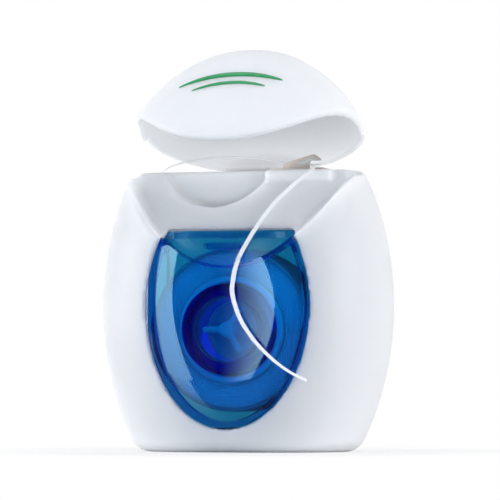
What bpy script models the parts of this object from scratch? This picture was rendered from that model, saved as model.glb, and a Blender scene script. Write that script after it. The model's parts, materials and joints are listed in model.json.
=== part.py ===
"""Dental floss dispenser with a flip-top lid, a see-through window and a floss bobbin.

Metres, +Z up. X runs to the right of the front face and -Y is the front.
The origin is the middle of the base. The lid stands open.
"""
import math

import bmesh
import bpy
from mathutils import Matrix, Vector

# Outer form of the closed dispenser: half sizes at the widest level, and arcs up and down from it
BODY_HEIGHT = 0.0473
HALF_WIDTH = 0.0252
SIDE_RADIUS = 0.0518
SIDE_LEVEL = 0.0246
FRONT_DEPTH = 0.0154
FRONT_RADIUS = 0.240
FRONT_LEVEL = 0.022
BACK_DEPTH = 0.0124
BACK_RADIUS = 0.120
BACK_LEVEL = 0.024
FRONT_POWER_SHARE = 2.35
BACK_POWER_SHARE = 1.8
BASE_ROUND = 0.0019
SHOULDER_ROUND = 0.0009

# Dome of the lid, above the shoulder
DOME_HEIGHT = 0.0134
DOME_LEAN = 0.0027
DOME_SIDE_SHARES = (2.45, 2.21)
DOME_FRONT_SHARES = (2.62, 1.89)
DOME_BACK_SHARES = (2.2, 2.2)

# Walls and clearances
SHELL_WALL = 0.0013
LID_WALL = 0.0012
TOUCH_GAP = 0.0003
STRAND_CLEARANCE = 0.0004
OVERRUN = 0.004

# Parting line between the lid and the housing: a U on the front, from shoulder to shoulder
LIP_END_OVERHANG = 0.00014
LIP_DROP = 0.0149
SEAT_DROP = 0.0163
LIP_END_RISE = 0.0001
LIP_POWER_SHARE = 2.14

# Recess under the lid: a slope from the top of the window up to the edge of the deck
SLOPE_FOOT_INSET = 0.004
SLOPE_TOP_DEPTH = 0.0035
SCOOP_RADIUS = 0.010
SCOOP_OFFSET = 0.0112
SCOOP_DEPTH = 0.0063
SCOOP_BACK_MARGIN = 0.0002

# Parting plane of the two housing shells
SPLIT_DEPTH = 0.003

# Window
WINDOW_TOP_DROP = 0.0104
WINDOW_BOTTOM = 0.0041
WINDOW_LEVEL = 0.0244
WINDOW_HALF_WIDTH = 0.0139
WINDOW_TOP_HALF_WIDTH = 0.0107
WINDOW_WALL = 0.0013
WINDOW_RIM = 0.0011
WINDOW_FLANGE = 0.0014
WINDOW_FLANGE_WALL = 0.001
CATCH_BAR_LEFT = -0.0041
CATCH_BAR_RIGHT = 0.0022
CATCH_BAR_DROP = 0.0026
CATCH_BAR_HEIGHT = 0.0011
CATCH_BAR_PROUD = 0.0004

# Hub and bobbin
HUB_LEVEL = 0.0204
HUB_RADIUS = 0.0075
HUB_BORE_RADIUS = 0.0055
HUB_BORE_END_RADIUS = 0.0050
HUB_END_DEPTH = 0.0070
COLLAR_BORE_RADIUS = 0.0048
SHOULDER_RADIUS = 0.0095
POST_RADIUS = 0.0044
POST_RIB = 0.0011
POST_CORE_RADIUS = 0.0014
POST_END_INSET = 0.0027
BOBBIN_FRONT_INSET = 0.0046
BOBBIN_BACK = 0.0008
BOBBIN_WALL = 0.0012
PACK_RADIUS = 0.0126

# Floss
FLOSS_WIDTH = 0.0008
WINDING_MARGIN = 0.0005
WINDING_PITCH = 0.00128
WINDING_STEPS = 24

# Floss outlet and cutter on the deck
OUTLET_INSET = 0.0046
OUTLET_Y = 0.0004
OUTLET_RADIUS = 0.0009
OUTLET_COLLAR_RADIUS = 0.0017
OUTLET_COLLAR_LENGTH = 0.0022
CUTTER_INSET = 0.0059
CUTTER_LENGTH = 0.0092
CUTTER_FRONT = -0.0046
CUTTER_BACK = 0.0012
CUTTER_SHEET = 0.00035
CUTTER_PROUD = 0.0003
CUTTER_LEG_LENGTH = 0.0026
CUTTER_LEG_WIDTH = 0.0022
TOOTH_Y = -0.0015
TOOTH_HEIGHT = 0.0024
TOOTH_HEEL_HEIGHT = 0.0009
TOOTH_CORNER = 0.00025
TOOTH_HEEL_SHARE = 0.14
TOOTH_NOTCH_SHARE = 0.66
TOOTH_PEAK_SHARES = (0.70, 0.76)
TOOTH_TIP_SHARE = 0.87
NOTCH_HEIGHT = 0.0014
BLOCK_LEFT_MARGIN = 0.0007
BLOCK_RIGHT_MARGIN = 0.0018
BLOCK_FRONT_MARGIN = 0.0016
BLOCK_HEIGHT = 0.0021
BLOCK_ROUND = 0.0006

# Hinge of the lid
LID_OPEN_DEGREES = 40.0
HINGE_LAND_INSET = 0.001116
HINGE_POCKET = 0.003
HINGE_RUNOUT_DEGREES = 60.0
HINGE_HALF_WIDTH = 0.0074
HINGE_FILM = 0.0004
HINGE_FLANGE = 0.0024

# Resolution, in counts
RING_POINTS = 48
BODY_STEPS = 12
EDGE_STEPS = 3
DOME_STEPS = 11
OUTLINE_STEPS = 12
TURNED_STEPS = 40
ROUTE_STEPS = 12
ROUND_SEGMENTS = 3
SMOOTH_DEGREES = 35.0
WELD_SHARE = 0.01

# Route of the free floss, from the outlet over the deck, round the tooth and down the front
FLOSS_ROUTE = (
    (-0.0155, 0.0004, 0.0476),
    (-0.0149, 0.0004, 0.0486),
    (-0.0117, 0.0004, 0.0496),
    (-0.0082, 0.0004, 0.0501),
    (-0.0040, 0.0004, 0.05035),
    (0.0015, 0.0003, 0.0500),
    (0.0062, -0.0002, 0.0491),
    (0.0095, -0.0005, 0.0484),
    (0.0118, -0.0007, 0.0483),
    (0.0129, -0.0015, 0.0483),
    (0.0127, -0.0030, 0.0483),
    (0.0120, -0.0052, 0.0483),
    (0.0114, -0.0069, 0.0475),
    (0.0109, -0.0077, 0.0461),
    (0.0101, -0.0082, 0.0444),
    (0.0070, -0.0100, 0.0412),
    (0.0049, -0.0127, 0.0372),
    (0.0032, -0.0132, 0.0342),
    (0.0026, -0.0134, 0.0328),
    (0.0024, -0.0144, 0.0319),
    (0.00235, -0.0155, 0.0316),
    (0.0023, -0.0160, 0.0307),
    (0.0021, -0.0162, 0.0290),
    (0.0021, -0.0164, 0.0262),
    (0.0032, -0.0166, 0.0223),
    (0.0056, -0.0168, 0.0187),
    (0.0085, -0.0166, 0.0157),
    (0.0113, -0.0160, 0.0135),
    (0.0142, -0.0150, 0.0119),
)

# Values worked out from the driving dimensions
DOME_TOP = BODY_HEIGHT + DOME_HEIGHT
DECK_HALF_WIDTH = HALF_WIDTH - SIDE_RADIUS + math.sqrt(SIDE_RADIUS ** 2 - (BODY_HEIGHT - SIDE_LEVEL) ** 2)
DECK_BACK_DEPTH = BACK_DEPTH - BACK_RADIUS + math.sqrt(BACK_RADIUS ** 2 - (BODY_HEIGHT - BACK_LEVEL) ** 2)
LIP_HALF_WIDTH = DECK_HALF_WIDTH + LIP_END_OVERHANG
LID_SEAT_DEPTH = LID_WALL + TOUCH_GAP
WINDOW_SEAT_DEPTH = LID_SEAT_DEPTH + FLOSS_WIDTH + STRAND_CLEARANCE
WINDOW_TOP = BODY_HEIGHT - WINDOW_TOP_DROP
CATCH_BAR_LEVEL = WINDOW_TOP - CATCH_BAR_DROP
WELD_DISTANCE = TOUCH_GAP * WELD_SHARE
SLOPE_FOOT_DEPTH = FRONT_DEPTH - SLOPE_FOOT_INSET
SLOPE_FOOT_LEVEL = WINDOW_TOP + TOUCH_GAP
OUTLET_X = -(LIP_HALF_WIDTH - OUTLET_INSET)
SCOOP_CENTRE_X = OUTLET_X + SCOOP_OFFSET
SCOOP_BACK_DEPTH = SLOPE_TOP_DEPTH + SCOOP_BACK_MARGIN
CUTTER_RIGHT = LIP_HALF_WIDTH - CUTTER_INSET
CUTTER_LEFT = CUTTER_RIGHT - CUTTER_LENGTH
BLOCK_LEFT = CUTTER_LEFT - BLOCK_LEFT_MARGIN
BLOCK_RIGHT = CUTTER_RIGHT + BLOCK_RIGHT_MARGIN
BLOCK_DEPTH = BLOCK_FRONT_MARGIN - CUTTER_FRONT
HINGE_LAND_DEPTH = DECK_BACK_DEPTH - HINGE_LAND_INSET
HINGE_Y = HINGE_LAND_DEPTH + TOUCH_GAP + HINGE_FILM / 2
HINGE_Z = BODY_HEIGHT + TOUCH_GAP / 2
OPEN_ANGLE = math.radians(LID_OPEN_DEGREES)
RUNOUT_ANGLE = math.radians(HINGE_RUNOUT_DEGREES)
POST_END_DEPTH = FRONT_DEPTH - POST_END_INSET
BOBBIN_FRONT_DEPTH = FRONT_DEPTH - BOBBIN_FRONT_INSET
BOBBIN_BORE = HUB_RADIUS + TOUCH_GAP
BOBBIN_RADIUS = BOBBIN_BORE + BOBBIN_WALL
WINDING_RADIUS = PACK_RADIUS + TOUCH_GAP + FLOSS_WIDTH / 2
WINDING_LENGTH = BOBBIN_FRONT_DEPTH + BOBBIN_BACK - FLOSS_WIDTH - WINDING_MARGIN
WINDING_TURNS = int(WINDING_LENGTH / WINDING_PITCH)
FEED_X = -(WINDING_RADIUS + FLOSS_WIDTH + TOUCH_GAP)

WHITE = (0.86, 0.87, 0.89, 1.0)
BLUE = (0.01, 0.16, 0.55, 1.0)
FLOSS_WHITE = (0.93, 0.94, 0.93, 1.0)
CORE_GREY = (0.72, 0.73, 0.74, 1.0)
STEEL = (0.55, 0.53, 0.50, 1.0)


def clear_scene():
    """Remove every object of the open scene."""
    for obj in list(bpy.data.objects):
        bpy.data.objects.remove(obj, do_unlink=True)


def new_collection(name):
    """Return a new collection linked to the scene."""
    collection = bpy.data.collections.new(name)
    bpy.context.scene.collection.children.link(collection)
    return collection


def new_material(name, colour, roughness, metallic=0.0):
    """Return a Principled material."""
    material = bpy.data.materials.new(name)
    material.use_nodes = True
    shader = material.node_tree.nodes["Principled BSDF"]
    shader.inputs["Base Color"].default_value = colour
    shader.inputs["Roughness"].default_value = roughness
    shader.inputs["Metallic"].default_value = metallic
    return material


def mesh_object(name, mesh):
    """Return a scene object for a mesh."""
    obj = bpy.data.objects.new(name, mesh)
    bpy.context.scene.collection.objects.link(obj)
    return obj


def evaluated_copy(obj):
    """Return the object's evaluated mesh, in world space."""
    bpy.context.view_layer.update()
    depsgraph = bpy.context.evaluated_depsgraph_get()
    mesh = bpy.data.meshes.new_from_object(obj.evaluated_get(depsgraph), depsgraph=depsgraph)
    mesh.transform(obj.matrix_world)
    return mesh


def settle(obj):
    """Apply the object's modifiers and its place to its mesh."""
    mesh = evaluated_copy(obj)
    obj.modifiers.clear()
    obj.data = mesh
    obj.matrix_world = Matrix.Identity(4)
    return obj


def combine(target, other, operation):
    """Join, cut or intersect the target with another solid, which is then removed."""
    modifier = target.modifiers.new("Boolean", "BOOLEAN")
    modifier.operation = operation
    modifier.solver = "MANIFOLD"
    modifier.object = other
    settle(target)
    bpy.data.objects.remove(other, do_unlink=True)
    return target


def cut(target, other):
    """Take the other solid away from the target."""
    return combine(target, other, "DIFFERENCE")


def join(target, other):
    """Unite the other solid with the target."""
    return combine(target, other, "UNION")


def common(target, other):
    """Keep what the target and the other solid share."""
    return combine(target, other, "INTERSECT")


def round_edges(obj, width):
    """Round all edges of a block."""
    bevel = obj.modifiers.new("Bevel", "BEVEL")
    bevel.width = width
    bevel.segments = ROUND_SEGMENTS
    return settle(obj)


def arc_size(size, radius, level, z):
    """Half size at a height, on an arc that bulges most at its level."""
    return size - (radius - math.sqrt(radius ** 2 - (z - level) ** 2))


def arc_slope(radius, level, z):
    """Change of the half size with height on that arc."""
    return -(z - level) / math.sqrt(radius ** 2 - (z - level) ** 2)


def form_sizes(z):
    """Half width, front depth and back depth of the closed form at a height."""
    low = min(z, BODY_HEIGHT)
    width = arc_size(HALF_WIDTH, SIDE_RADIUS, SIDE_LEVEL, low)
    front = arc_size(FRONT_DEPTH, FRONT_RADIUS, FRONT_LEVEL, low)
    back = arc_size(BACK_DEPTH, BACK_RADIUS, BACK_LEVEL, low)
    return width, front, back


def dome_sizes(share, inset):
    """Sizes of the dome at a share of its height, inside its surface by the inset."""
    rise = share * (DOME_HEIGHT - inset)
    sizes = []
    arcs = (
        (HALF_WIDTH, SIDE_RADIUS, SIDE_LEVEL, DOME_SIDE_SHARES),
        (FRONT_DEPTH, FRONT_RADIUS, FRONT_LEVEL, DOME_FRONT_SHARES),
        (BACK_DEPTH, BACK_RADIUS, BACK_LEVEL, DOME_BACK_SHARES),
    )
    for size, radius, level, (inner, outer) in arcs:
        start = arc_size(size, radius, level, BODY_HEIGHT) - inset
        slope = arc_slope(radius, level, BODY_HEIGHT)
        fade = (1.0 - share ** inner) ** (1.0 / outer)
        sizes.append((start + slope * rise) * fade)
    width, front, back = sizes
    lean = DOME_LEAN * share ** 2
    return width, front + lean, back - lean


def ring(width, front, back, z):
    """One plan section: a superellipse with a squarer front than back."""
    points = []
    for step in range(RING_POINTS):
        angle = 2.0 * math.pi * step / RING_POINTS
        across, along = math.cos(angle), math.sin(angle)
        power = FRONT_POWER_SHARE if along < 0.0 else BACK_POWER_SHARE
        depth = front if along < 0.0 else back
        x = math.copysign(abs(across) ** (2.0 / power), across) * width
        y = math.copysign(abs(along) ** (2.0 / power), along) * depth
        points.append((x, y, z))
    return points


def loft(name, rings):
    """Closed solid through rings of equal counts, from the lowest to the highest."""
    mesh = bpy.data.meshes.new(name)
    shape = bmesh.new()
    rows = [[shape.verts.new(point) for point in points] for points in rings]
    count = len(rows[0])
    for low, high in zip(rows, rows[1:]):
        for index in range(count):
            following = (index + 1) % count
            shape.faces.new((low[index], low[following], high[following], high[index]))
    shape.faces.new(list(reversed(rows[0])))
    shape.faces.new(rows[-1])
    bmesh.ops.recalc_face_normals(shape, faces=shape.faces)
    shape.to_mesh(mesh)
    shape.free()
    return mesh_object(name, mesh)


def rounded_levels(low, high, low_round, high_round):
    """Heights and insets of sections, closer together over the rounded ends."""
    levels = []
    for step in range(EDGE_STEPS):
        angle = 0.5 * math.pi * step / EDGE_STEPS
        levels.append((low + low_round * (1.0 - math.cos(angle)), low_round * (1.0 - math.sin(angle))))
    start, end = low + low_round, high - high_round
    for step in range(BODY_STEPS + 1):
        levels.append((start + (end - start) * step / BODY_STEPS, 0.0))
    for step in range(EDGE_STEPS):
        angle = 0.5 * math.pi * (step + 1) / EDGE_STEPS
        levels.append((end + high_round * math.sin(angle), high_round * (1.0 - math.cos(angle))))
    return levels


def body_form(name, inset, low, high, low_round, high_round):
    """The closed form's lower part, inside its surface by the inset."""
    rings = []
    for z, rounding in rounded_levels(low, high, low_round, high_round):
        width, front, back = form_sizes(z)
        shrink = inset + rounding
        rings.append(ring(width - shrink, front - shrink, back - shrink, z))
    return loft(name, rings)


def lid_form(name, inset, low):
    """The closed form's upper part, down to a level under the lip, inside by the inset."""
    rings = []
    side_steps = BODY_STEPS // 2
    for step in range(side_steps):
        z = low + (BODY_HEIGHT - low) * step / side_steps
        width, front, back = form_sizes(z)
        rings.append(ring(width - inset, front - inset, back - inset, z))
    for step in range(DOME_STEPS):
        share = math.sin(0.5 * math.pi * step / (DOME_STEPS - 0.5))
        z = BODY_HEIGHT + share * (DOME_HEIGHT - inset)
        rings.append(ring(*dome_sizes(share, inset), z))
    return loft(name, rings)


def box(name, low, high):
    """A box between two corners."""
    bpy.ops.mesh.primitive_cube_add(size=1.0)
    obj = bpy.context.active_object
    obj.name = name
    low, high = Vector(low), Vector(high)
    obj.scale = high - low
    obj.location = (low + high) / 2
    return settle(obj)


def flat_plate(name, outline, near, far):
    """A plate with an outline in X and Z, between two depths in Y."""
    curve = bpy.data.curves.new(name, "CURVE")
    curve.dimensions = "2D"
    curve.fill_mode = "BOTH"
    curve.extrude = (far - near) / 2
    spline = curve.splines.new("POLY")
    spline.points.add(len(outline) - 1)
    for point, (x, z) in zip(spline.points, outline):
        point.co = (x, z, 0.0, 1.0)
    spline.use_cyclic_u = True
    guide = bpy.data.objects.new(name, curve)
    bpy.context.scene.collection.objects.link(guide)
    middle = Matrix.Translation((0.0, (near + far) / 2, 0.0))
    guide.matrix_world = middle @ Matrix.Rotation(math.pi / 2, 4, "X")
    return weld_curve(guide)


def weld_curve(guide):
    """Turn a curve into a closed mesh object under its name."""
    name = guide.name
    mesh = evaluated_copy(guide)
    shape = bmesh.new()
    shape.from_mesh(mesh)
    bmesh.ops.remove_doubles(shape, verts=shape.verts, dist=WELD_DISTANCE)
    bmesh.ops.recalc_face_normals(shape, faces=shape.faces)
    shape.to_mesh(mesh)
    shape.free()
    bpy.data.objects.remove(guide, do_unlink=True)
    return mesh_object(name, mesh)


def turned(name, profile, x, z):
    """A solid turned about an axis along Y, from a closed profile of (radius, depth) pairs."""
    mesh = bpy.data.meshes.new(name)
    count = len(profile)
    vertices = [(radius, 0.0, depth) for radius, depth in profile]
    edges = [(index, (index + 1) % count) for index in range(count)]
    mesh.from_pydata(vertices, edges, [])
    obj = mesh_object(name, mesh)
    screw = obj.modifiers.new("Screw", "SCREW")
    screw.axis = "Z"
    screw.steps = TURNED_STEPS
    screw.render_steps = TURNED_STEPS
    screw.use_merge_vertices = True
    screw.merge_threshold = WELD_DISTANCE
    obj.matrix_world = Matrix.Translation((x, 0.0, z)) @ Matrix.Rotation(math.pi / 2, 4, "X")
    settle(obj)
    shape = bmesh.new()
    shape.from_mesh(obj.data)
    bmesh.ops.recalc_face_normals(shape, faces=shape.faces)
    shape.to_mesh(obj.data)
    shape.free()
    return obj


def rod(name, radius, near, far, x, z):
    """A cylinder along Y between two depths."""
    bpy.ops.mesh.primitive_cylinder_add(vertices=TURNED_STEPS, radius=radius, depth=far - near)
    obj = bpy.context.active_object
    obj.name = name
    obj.rotation_euler = (math.pi / 2, math.pi / TURNED_STEPS, 0.0)
    obj.location = (x, (near + far) / 2, z)
    return settle(obj)


def cone_rod(name, near_radius, far_radius, near, far, x, z):
    """A cone frustum along Y between two depths."""
    bpy.ops.mesh.primitive_cone_add(
        vertices=TURNED_STEPS, radius1=far_radius, radius2=near_radius, depth=far - near)
    obj = bpy.context.active_object
    obj.name = name
    obj.rotation_euler = (math.pi / 2, math.pi / TURNED_STEPS, 0.0)
    obj.location = (x, (near + far) / 2, z)
    return settle(obj)


def lip_level(x, drop):
    """Height of the U-shaped parting line over a place across the front."""
    share = min(abs(x) / LIP_HALF_WIDTH, 1.0)
    return BODY_HEIGHT - drop * (1.0 - share ** LIP_POWER_SHARE)


def lip_outline(drop, lower):
    """Outline in X and Z of all that lies above the parting line."""
    reach = HALF_WIDTH + OVERRUN
    ceiling = DOME_TOP + OVERRUN
    end_level = BODY_HEIGHT - lower + LIP_END_RISE
    points = []
    for step in range(2 * OUTLINE_STEPS + 1):
        x = LIP_HALF_WIDTH * (step / OUTLINE_STEPS - 1.0)
        points.append((x, lip_level(x, drop) - lower))
    points += [(reach, end_level), (reach, ceiling), (-reach, ceiling), (-reach, end_level)]
    return points


def slope_wedge(name, inside, top):
    """All that lies behind and below the recess slope, inside it by a wall."""
    run = SLOPE_FOOT_DEPTH - SLOPE_TOP_DEPTH
    rise = BODY_HEIGHT - SLOPE_FOOT_LEVEL
    shift = inside * math.hypot(run, rise) / rise
    reach = HALF_WIDTH + OVERRUN
    front = FRONT_DEPTH + OVERRUN
    floor_level = SLOPE_FOOT_LEVEL - (front - SLOPE_FOOT_DEPTH) * rise / run
    top_y = -SLOPE_TOP_DEPTH + shift - (BODY_HEIGHT - top) * run / rise
    outline = (
        (-front + shift, -OVERRUN),
        (-front + shift, floor_level),
        (top_y, top),
        (BACK_DEPTH + OVERRUN, top),
        (BACK_DEPTH + OVERRUN, -OVERRUN),
    )
    rings = []
    for x in (-reach, reach):
        rings.append([(x, y, z) for y, z in outline])
    return loft(name, rings)


def stepped_form(name, skin, seat, drop, lower, top_inset):
    """The housing's form inside its surface by the skin, and by the seat where the lid covers it."""
    top = BODY_HEIGHT - top_inset
    shoulder_round = SHOULDER_ROUND if skin == 0.0 else 0.0
    form = body_form(name, skin, skin, top, BASE_ROUND, shoulder_round)
    covered = flat_plate("covered", lip_outline(drop, lower), -FRONT_DEPTH - OVERRUN, TOUCH_GAP + lower)
    core = body_form("core", seat, skin, top + OVERRUN, BASE_ROUND, 0.0)
    common(core, slope_wedge("wedge", top_inset, top + OVERRUN + OVERRUN))
    cut(covered, core)
    return cut(form, covered)


def window_outline(grow, top_grow):
    """Outline of the window, grown outward: an arc on each side and half an ellipse below."""
    half = WINDOW_HALF_WIDTH + grow
    top = WINDOW_TOP + top_grow
    fall = WINDOW_HALF_WIDTH - WINDOW_TOP_HALF_WIDTH
    climb = WINDOW_TOP - WINDOW_LEVEL
    radius = (climb ** 2 + fall ** 2) / (2 * fall) + grow
    right = []
    for step in range(OUTLINE_STEPS // 2 + 1):
        z = top - (top - WINDOW_LEVEL) * step / (OUTLINE_STEPS // 2)
        right.append((arc_size(half, radius, WINDOW_LEVEL, z), z))
    below = WINDOW_LEVEL - WINDOW_BOTTOM + grow
    for step in range(1, OUTLINE_STEPS + 1):
        angle = 0.5 * math.pi * step / OUTLINE_STEPS
        right.append((half * math.cos(angle), WINDOW_LEVEL - below * math.sin(angle)))
    right[-1] = (0.0, WINDOW_LEVEL - below)
    left = [(-x, z) for x, z in reversed(right[:-1])]
    return right + left


def window_prism(name, grow, top_grow, extra=0.0):
    """The window's outline run through the front wall."""
    near = -FRONT_DEPTH - OVERRUN - extra
    return flat_plate(name, window_outline(grow, top_grow), near, -HUB_END_DEPTH + extra)


def scoop(name, wall):
    """The finger scoop in the slope, or the wall round it."""
    level = BODY_HEIGHT - SCOOP_DEPTH + SCOOP_RADIUS
    front = -FRONT_DEPTH - OVERRUN
    return rod(name, SCOOP_RADIUS + wall, front, -SCOOP_BACK_DEPTH + wall, SCOOP_CENTRE_X, level)


def hinge_pocket(name, end, beyond, wall=0.0):
    """All behind the flat land of the hinge film, which ends in a slope, or the wall in front of it."""
    land = HINGE_LAND_DEPTH - wall
    far = BACK_DEPTH + OVERRUN
    side = math.copysign(1.0, end - beyond)
    corner = end + side * wall * math.tan(RUNOUT_ANGLE / 2)
    runout = corner + side * (far - land) / math.tan(RUNOUT_ANGLE)
    outline = ((land, corner), (far, runout), (far, beyond), (land, beyond))
    rings = []
    for x in (-HALF_WIDTH, HALF_WIDTH):
        rings.append([(x, y, z) for y, z in outline])
    return loft(name, rings)


def housing_solid():
    """Both shells in one, before they are parted."""
    housing = stepped_form("housing", 0.0, LID_SEAT_DEPTH, SEAT_DROP, 0.0, 0.0)
    cut(housing, scoop("scoop", 0.0))
    block = box(
        "block",
        (BLOCK_LEFT, -BLOCK_DEPTH, BODY_HEIGHT - BLOCK_HEIGHT),
        (BLOCK_RIGHT, -SLOPE_TOP_DEPTH + OVERRUN, BODY_HEIGHT))
    join(housing, round_edges(block, BLOCK_ROUND))
    inner_seat = LID_SEAT_DEPTH + SHELL_WALL
    cavity = stepped_form("cavity", SHELL_WALL, inner_seat, SEAT_DROP, SHELL_WALL, SHELL_WALL)
    cut(cavity, scoop("scoop_wall", SHELL_WALL))
    pocket_end = BODY_HEIGHT - HINGE_POCKET
    cut(cavity, hinge_pocket("pocket_wall", pocket_end, BODY_HEIGHT, SHELL_WALL))
    cut(housing, cavity)
    return cut(housing, hinge_pocket("pocket", pocket_end, BODY_HEIGHT + OVERRUN))


def half_space(name, near, far):
    """A slab between two depths that spans the whole housing."""
    reach = HALF_WIDTH + OVERRUN
    return box(name, (-reach, near, -OVERRUN), (reach, far, DOME_TOP + OVERRUN))


def front_shell(housing):
    """Front half of the housing, with the window's opening, the outlet and the cutter's seat."""
    shell = mesh_object("front_shell", housing.data.copy())
    slab = half_space("slab", -FRONT_DEPTH - OVERRUN, SPLIT_DEPTH - TOUCH_GAP / 2)
    common(shell, slab)
    cut(shell, window_prism("aperture", TOUCH_GAP, TOUCH_GAP))
    collar = outlet_rod("outlet_collar", OUTLET_COLLAR_RADIUS, BODY_HEIGHT - OUTLET_COLLAR_LENGTH,
                        BODY_HEIGHT - SHELL_WALL / 2)
    join(shell, collar)
    cut(shell, outlet_rod("outlet", OUTLET_RADIUS, BODY_HEIGHT - OVERRUN, BODY_HEIGHT + OVERRUN))
    seat_floor = BODY_HEIGHT + CUTTER_PROUD - CUTTER_SHEET - TOUCH_GAP
    cut(shell, box(
        "cutter_seat",
        (CUTTER_LEFT - TOUCH_GAP, CUTTER_FRONT - TOUCH_GAP, seat_floor),
        (CUTTER_RIGHT + TOUCH_GAP, CUTTER_BACK + TOUCH_GAP, BODY_HEIGHT + OVERRUN)))
    for left, right in cutter_leg_spans():
        cut(shell, box(
            "leg_slot",
            (left - TOUCH_GAP, CUTTER_BACK - CUTTER_SHEET - TOUCH_GAP, BODY_HEIGHT - OVERRUN),
            (right + TOUCH_GAP, CUTTER_BACK + TOUCH_GAP, BODY_HEIGHT + OVERRUN)))
    return shell


def outlet_rod(name, radius, low, high):
    """An upright cylinder at the floss outlet."""
    bpy.ops.mesh.primitive_cylinder_add(vertices=TURNED_STEPS // 2, radius=radius, depth=high - low)
    obj = bpy.context.active_object
    obj.name = name
    obj.location = (OUTLET_X, OUTLET_Y, (low + high) / 2)
    return settle(obj)


def rear_shell(housing):
    """Back half of the housing, with the bobbin's shoulder, the hub's collar and the ribbed post."""
    shell = mesh_object("rear_shell", housing.data.copy())
    common(shell, half_space("slab", SPLIT_DEPTH + TOUCH_GAP / 2, BACK_DEPTH + OVERRUN))
    back = BACK_DEPTH
    collar_front = -HUB_END_DEPTH + TOUCH_GAP
    shoulder = BOBBIN_BACK + TOUCH_GAP
    step_profile = (
        (COLLAR_BORE_RADIUS, collar_front),
        (HUB_RADIUS, collar_front),
        (HUB_RADIUS, shoulder),
        (SHOULDER_RADIUS, shoulder),
        (SHOULDER_RADIUS, back),
        (COLLAR_BORE_RADIUS, back),
    )
    profile = [(radius, -depth) for radius, depth in step_profile]
    carrier = turned("collar", profile, 0.0, HUB_LEVEL)
    post = rod("post", POST_CORE_RADIUS, -POST_END_DEPTH - TOUCH_GAP, back + OVERRUN, 0.0, HUB_LEVEL)
    for index in range(3):
        rib = box(
            "rib",
            (0.0, -POST_END_DEPTH, -POST_RIB / 2),
            (POST_RADIUS, back + OVERRUN / 2, POST_RIB / 2))
        turn = Matrix.Rotation(math.radians(180.0 - 120.0 * index), 4, "Y")
        rib.data.transform(Matrix.Translation((0.0, 0.0, HUB_LEVEL)) @ turn)
        join(post, rib)
    join(carrier, post)
    common(carrier, body_form("inside", SHELL_WALL / 2, SHELL_WALL, BODY_HEIGHT, BASE_ROUND, 0.0))
    return join(shell, carrier)


def window_insert():
    """See-through front window with its rim, flange, sunk lid seat, catch bar and hub."""
    seat_inner = WINDOW_SEAT_DEPTH + WINDOW_WALL
    flange_skin = SHELL_WALL + TOUCH_GAP
    flange_seat = LID_SEAT_DEPTH + flange_skin
    rim_skin = flange_skin + WINDOW_FLANGE_WALL
    rim_seat = seat_inner + WINDOW_FLANGE_WALL / 2
    plate = stepped_form("window_insert", 0.0, WINDOW_SEAT_DEPTH, SEAT_DROP, 0.0, 0.0)
    common(plate, window_prism("pane", 0.0, 0.0))
    flange = stepped_form("flange", flange_skin, flange_seat, SEAT_DROP, flange_skin, SHELL_WALL)
    common(flange, window_prism("flange_prism", WINDOW_FLANGE, -TOUCH_GAP, TOUCH_GAP))
    join(plate, flange)
    cut(plate, stepped_form("rim_hollow", rim_skin, rim_seat, SEAT_DROP, rim_skin, WINDOW_WALL))
    hollow = stepped_form("hollow", WINDOW_WALL, seat_inner, SEAT_DROP, WINDOW_WALL, WINDOW_WALL)
    common(hollow, window_prism("inside", -WINDOW_RIM, -WINDOW_RIM, OVERRUN))
    cut(plate, hollow)
    front = arc_size(FRONT_DEPTH, FRONT_RADIUS, FRONT_LEVEL, HUB_LEVEL)
    hub_root = -front + WINDOW_WALL / 2
    hub = rod("hub", HUB_RADIUS, hub_root, -HUB_END_DEPTH, 0.0, HUB_LEVEL)
    bore = cone_rod("bore", HUB_BORE_RADIUS, HUB_BORE_END_RADIUS, -front + WINDOW_WALL,
                    -HUB_END_DEPTH, 0.0, HUB_LEVEL)
    bore_mouth = rod("bore_mouth", HUB_BORE_END_RADIUS, -HUB_END_DEPTH - TOUCH_GAP,
                     -HUB_END_DEPTH + OVERRUN, 0.0, HUB_LEVEL)
    join(bore, bore_mouth)
    join(plate, hub)
    cut(plate, bore)
    bar_base = form_sizes(CATCH_BAR_LEVEL)[1] - WINDOW_SEAT_DEPTH
    bar = box(
        "bar",
        (CATCH_BAR_LEFT, -bar_base - CATCH_BAR_PROUD, CATCH_BAR_LEVEL - CATCH_BAR_HEIGHT / 2),
        (CATCH_BAR_RIGHT, -bar_base + WINDOW_WALL / 2, CATCH_BAR_LEVEL + CATCH_BAR_HEIGHT / 2))
    return join(plate, round_edges(bar, CATCH_BAR_PROUD / 2))


def lid():
    """Domed lid with its long front lip, turned open about its hinge."""
    low = BODY_HEIGHT - LIP_DROP - OVERRUN
    dome = lid_form("lid", 0.0, low)
    hollow = lid_form("lid_hollow", LID_WALL, low - OVERRUN)
    pocket_end = BODY_HEIGHT + HINGE_POCKET
    cut(hollow, hinge_pocket("lid_pocket_wall", pocket_end, low - OVERRUN - OVERRUN, LID_WALL))
    cut(dome, hollow)
    cut(dome, below_lid())
    cut(dome, hinge_pocket("lid_pocket", pocket_end, low - OVERRUN))
    dome.data.transform(Matrix.Translation((0.0, -HINGE_Y, -HINGE_Z)))
    dome.location = (0.0, HINGE_Y, HINGE_Z)
    dome.rotation_euler = (-OPEN_ANGLE, 0.0, 0.0)
    return dome


def below_lid():
    """All that lies under the lid's parting line."""
    reach = HALF_WIDTH + OVERRUN
    front = -FRONT_DEPTH - OVERRUN
    below = box(
        "below",
        (-reach, front, -OVERRUN),
        (reach, BACK_DEPTH + OVERRUN, BODY_HEIGHT + TOUCH_GAP))
    return cut(below, flat_plate("above_lip", lip_outline(LIP_DROP, -TOUCH_GAP), front - OVERRUN, TOUCH_GAP))


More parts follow.
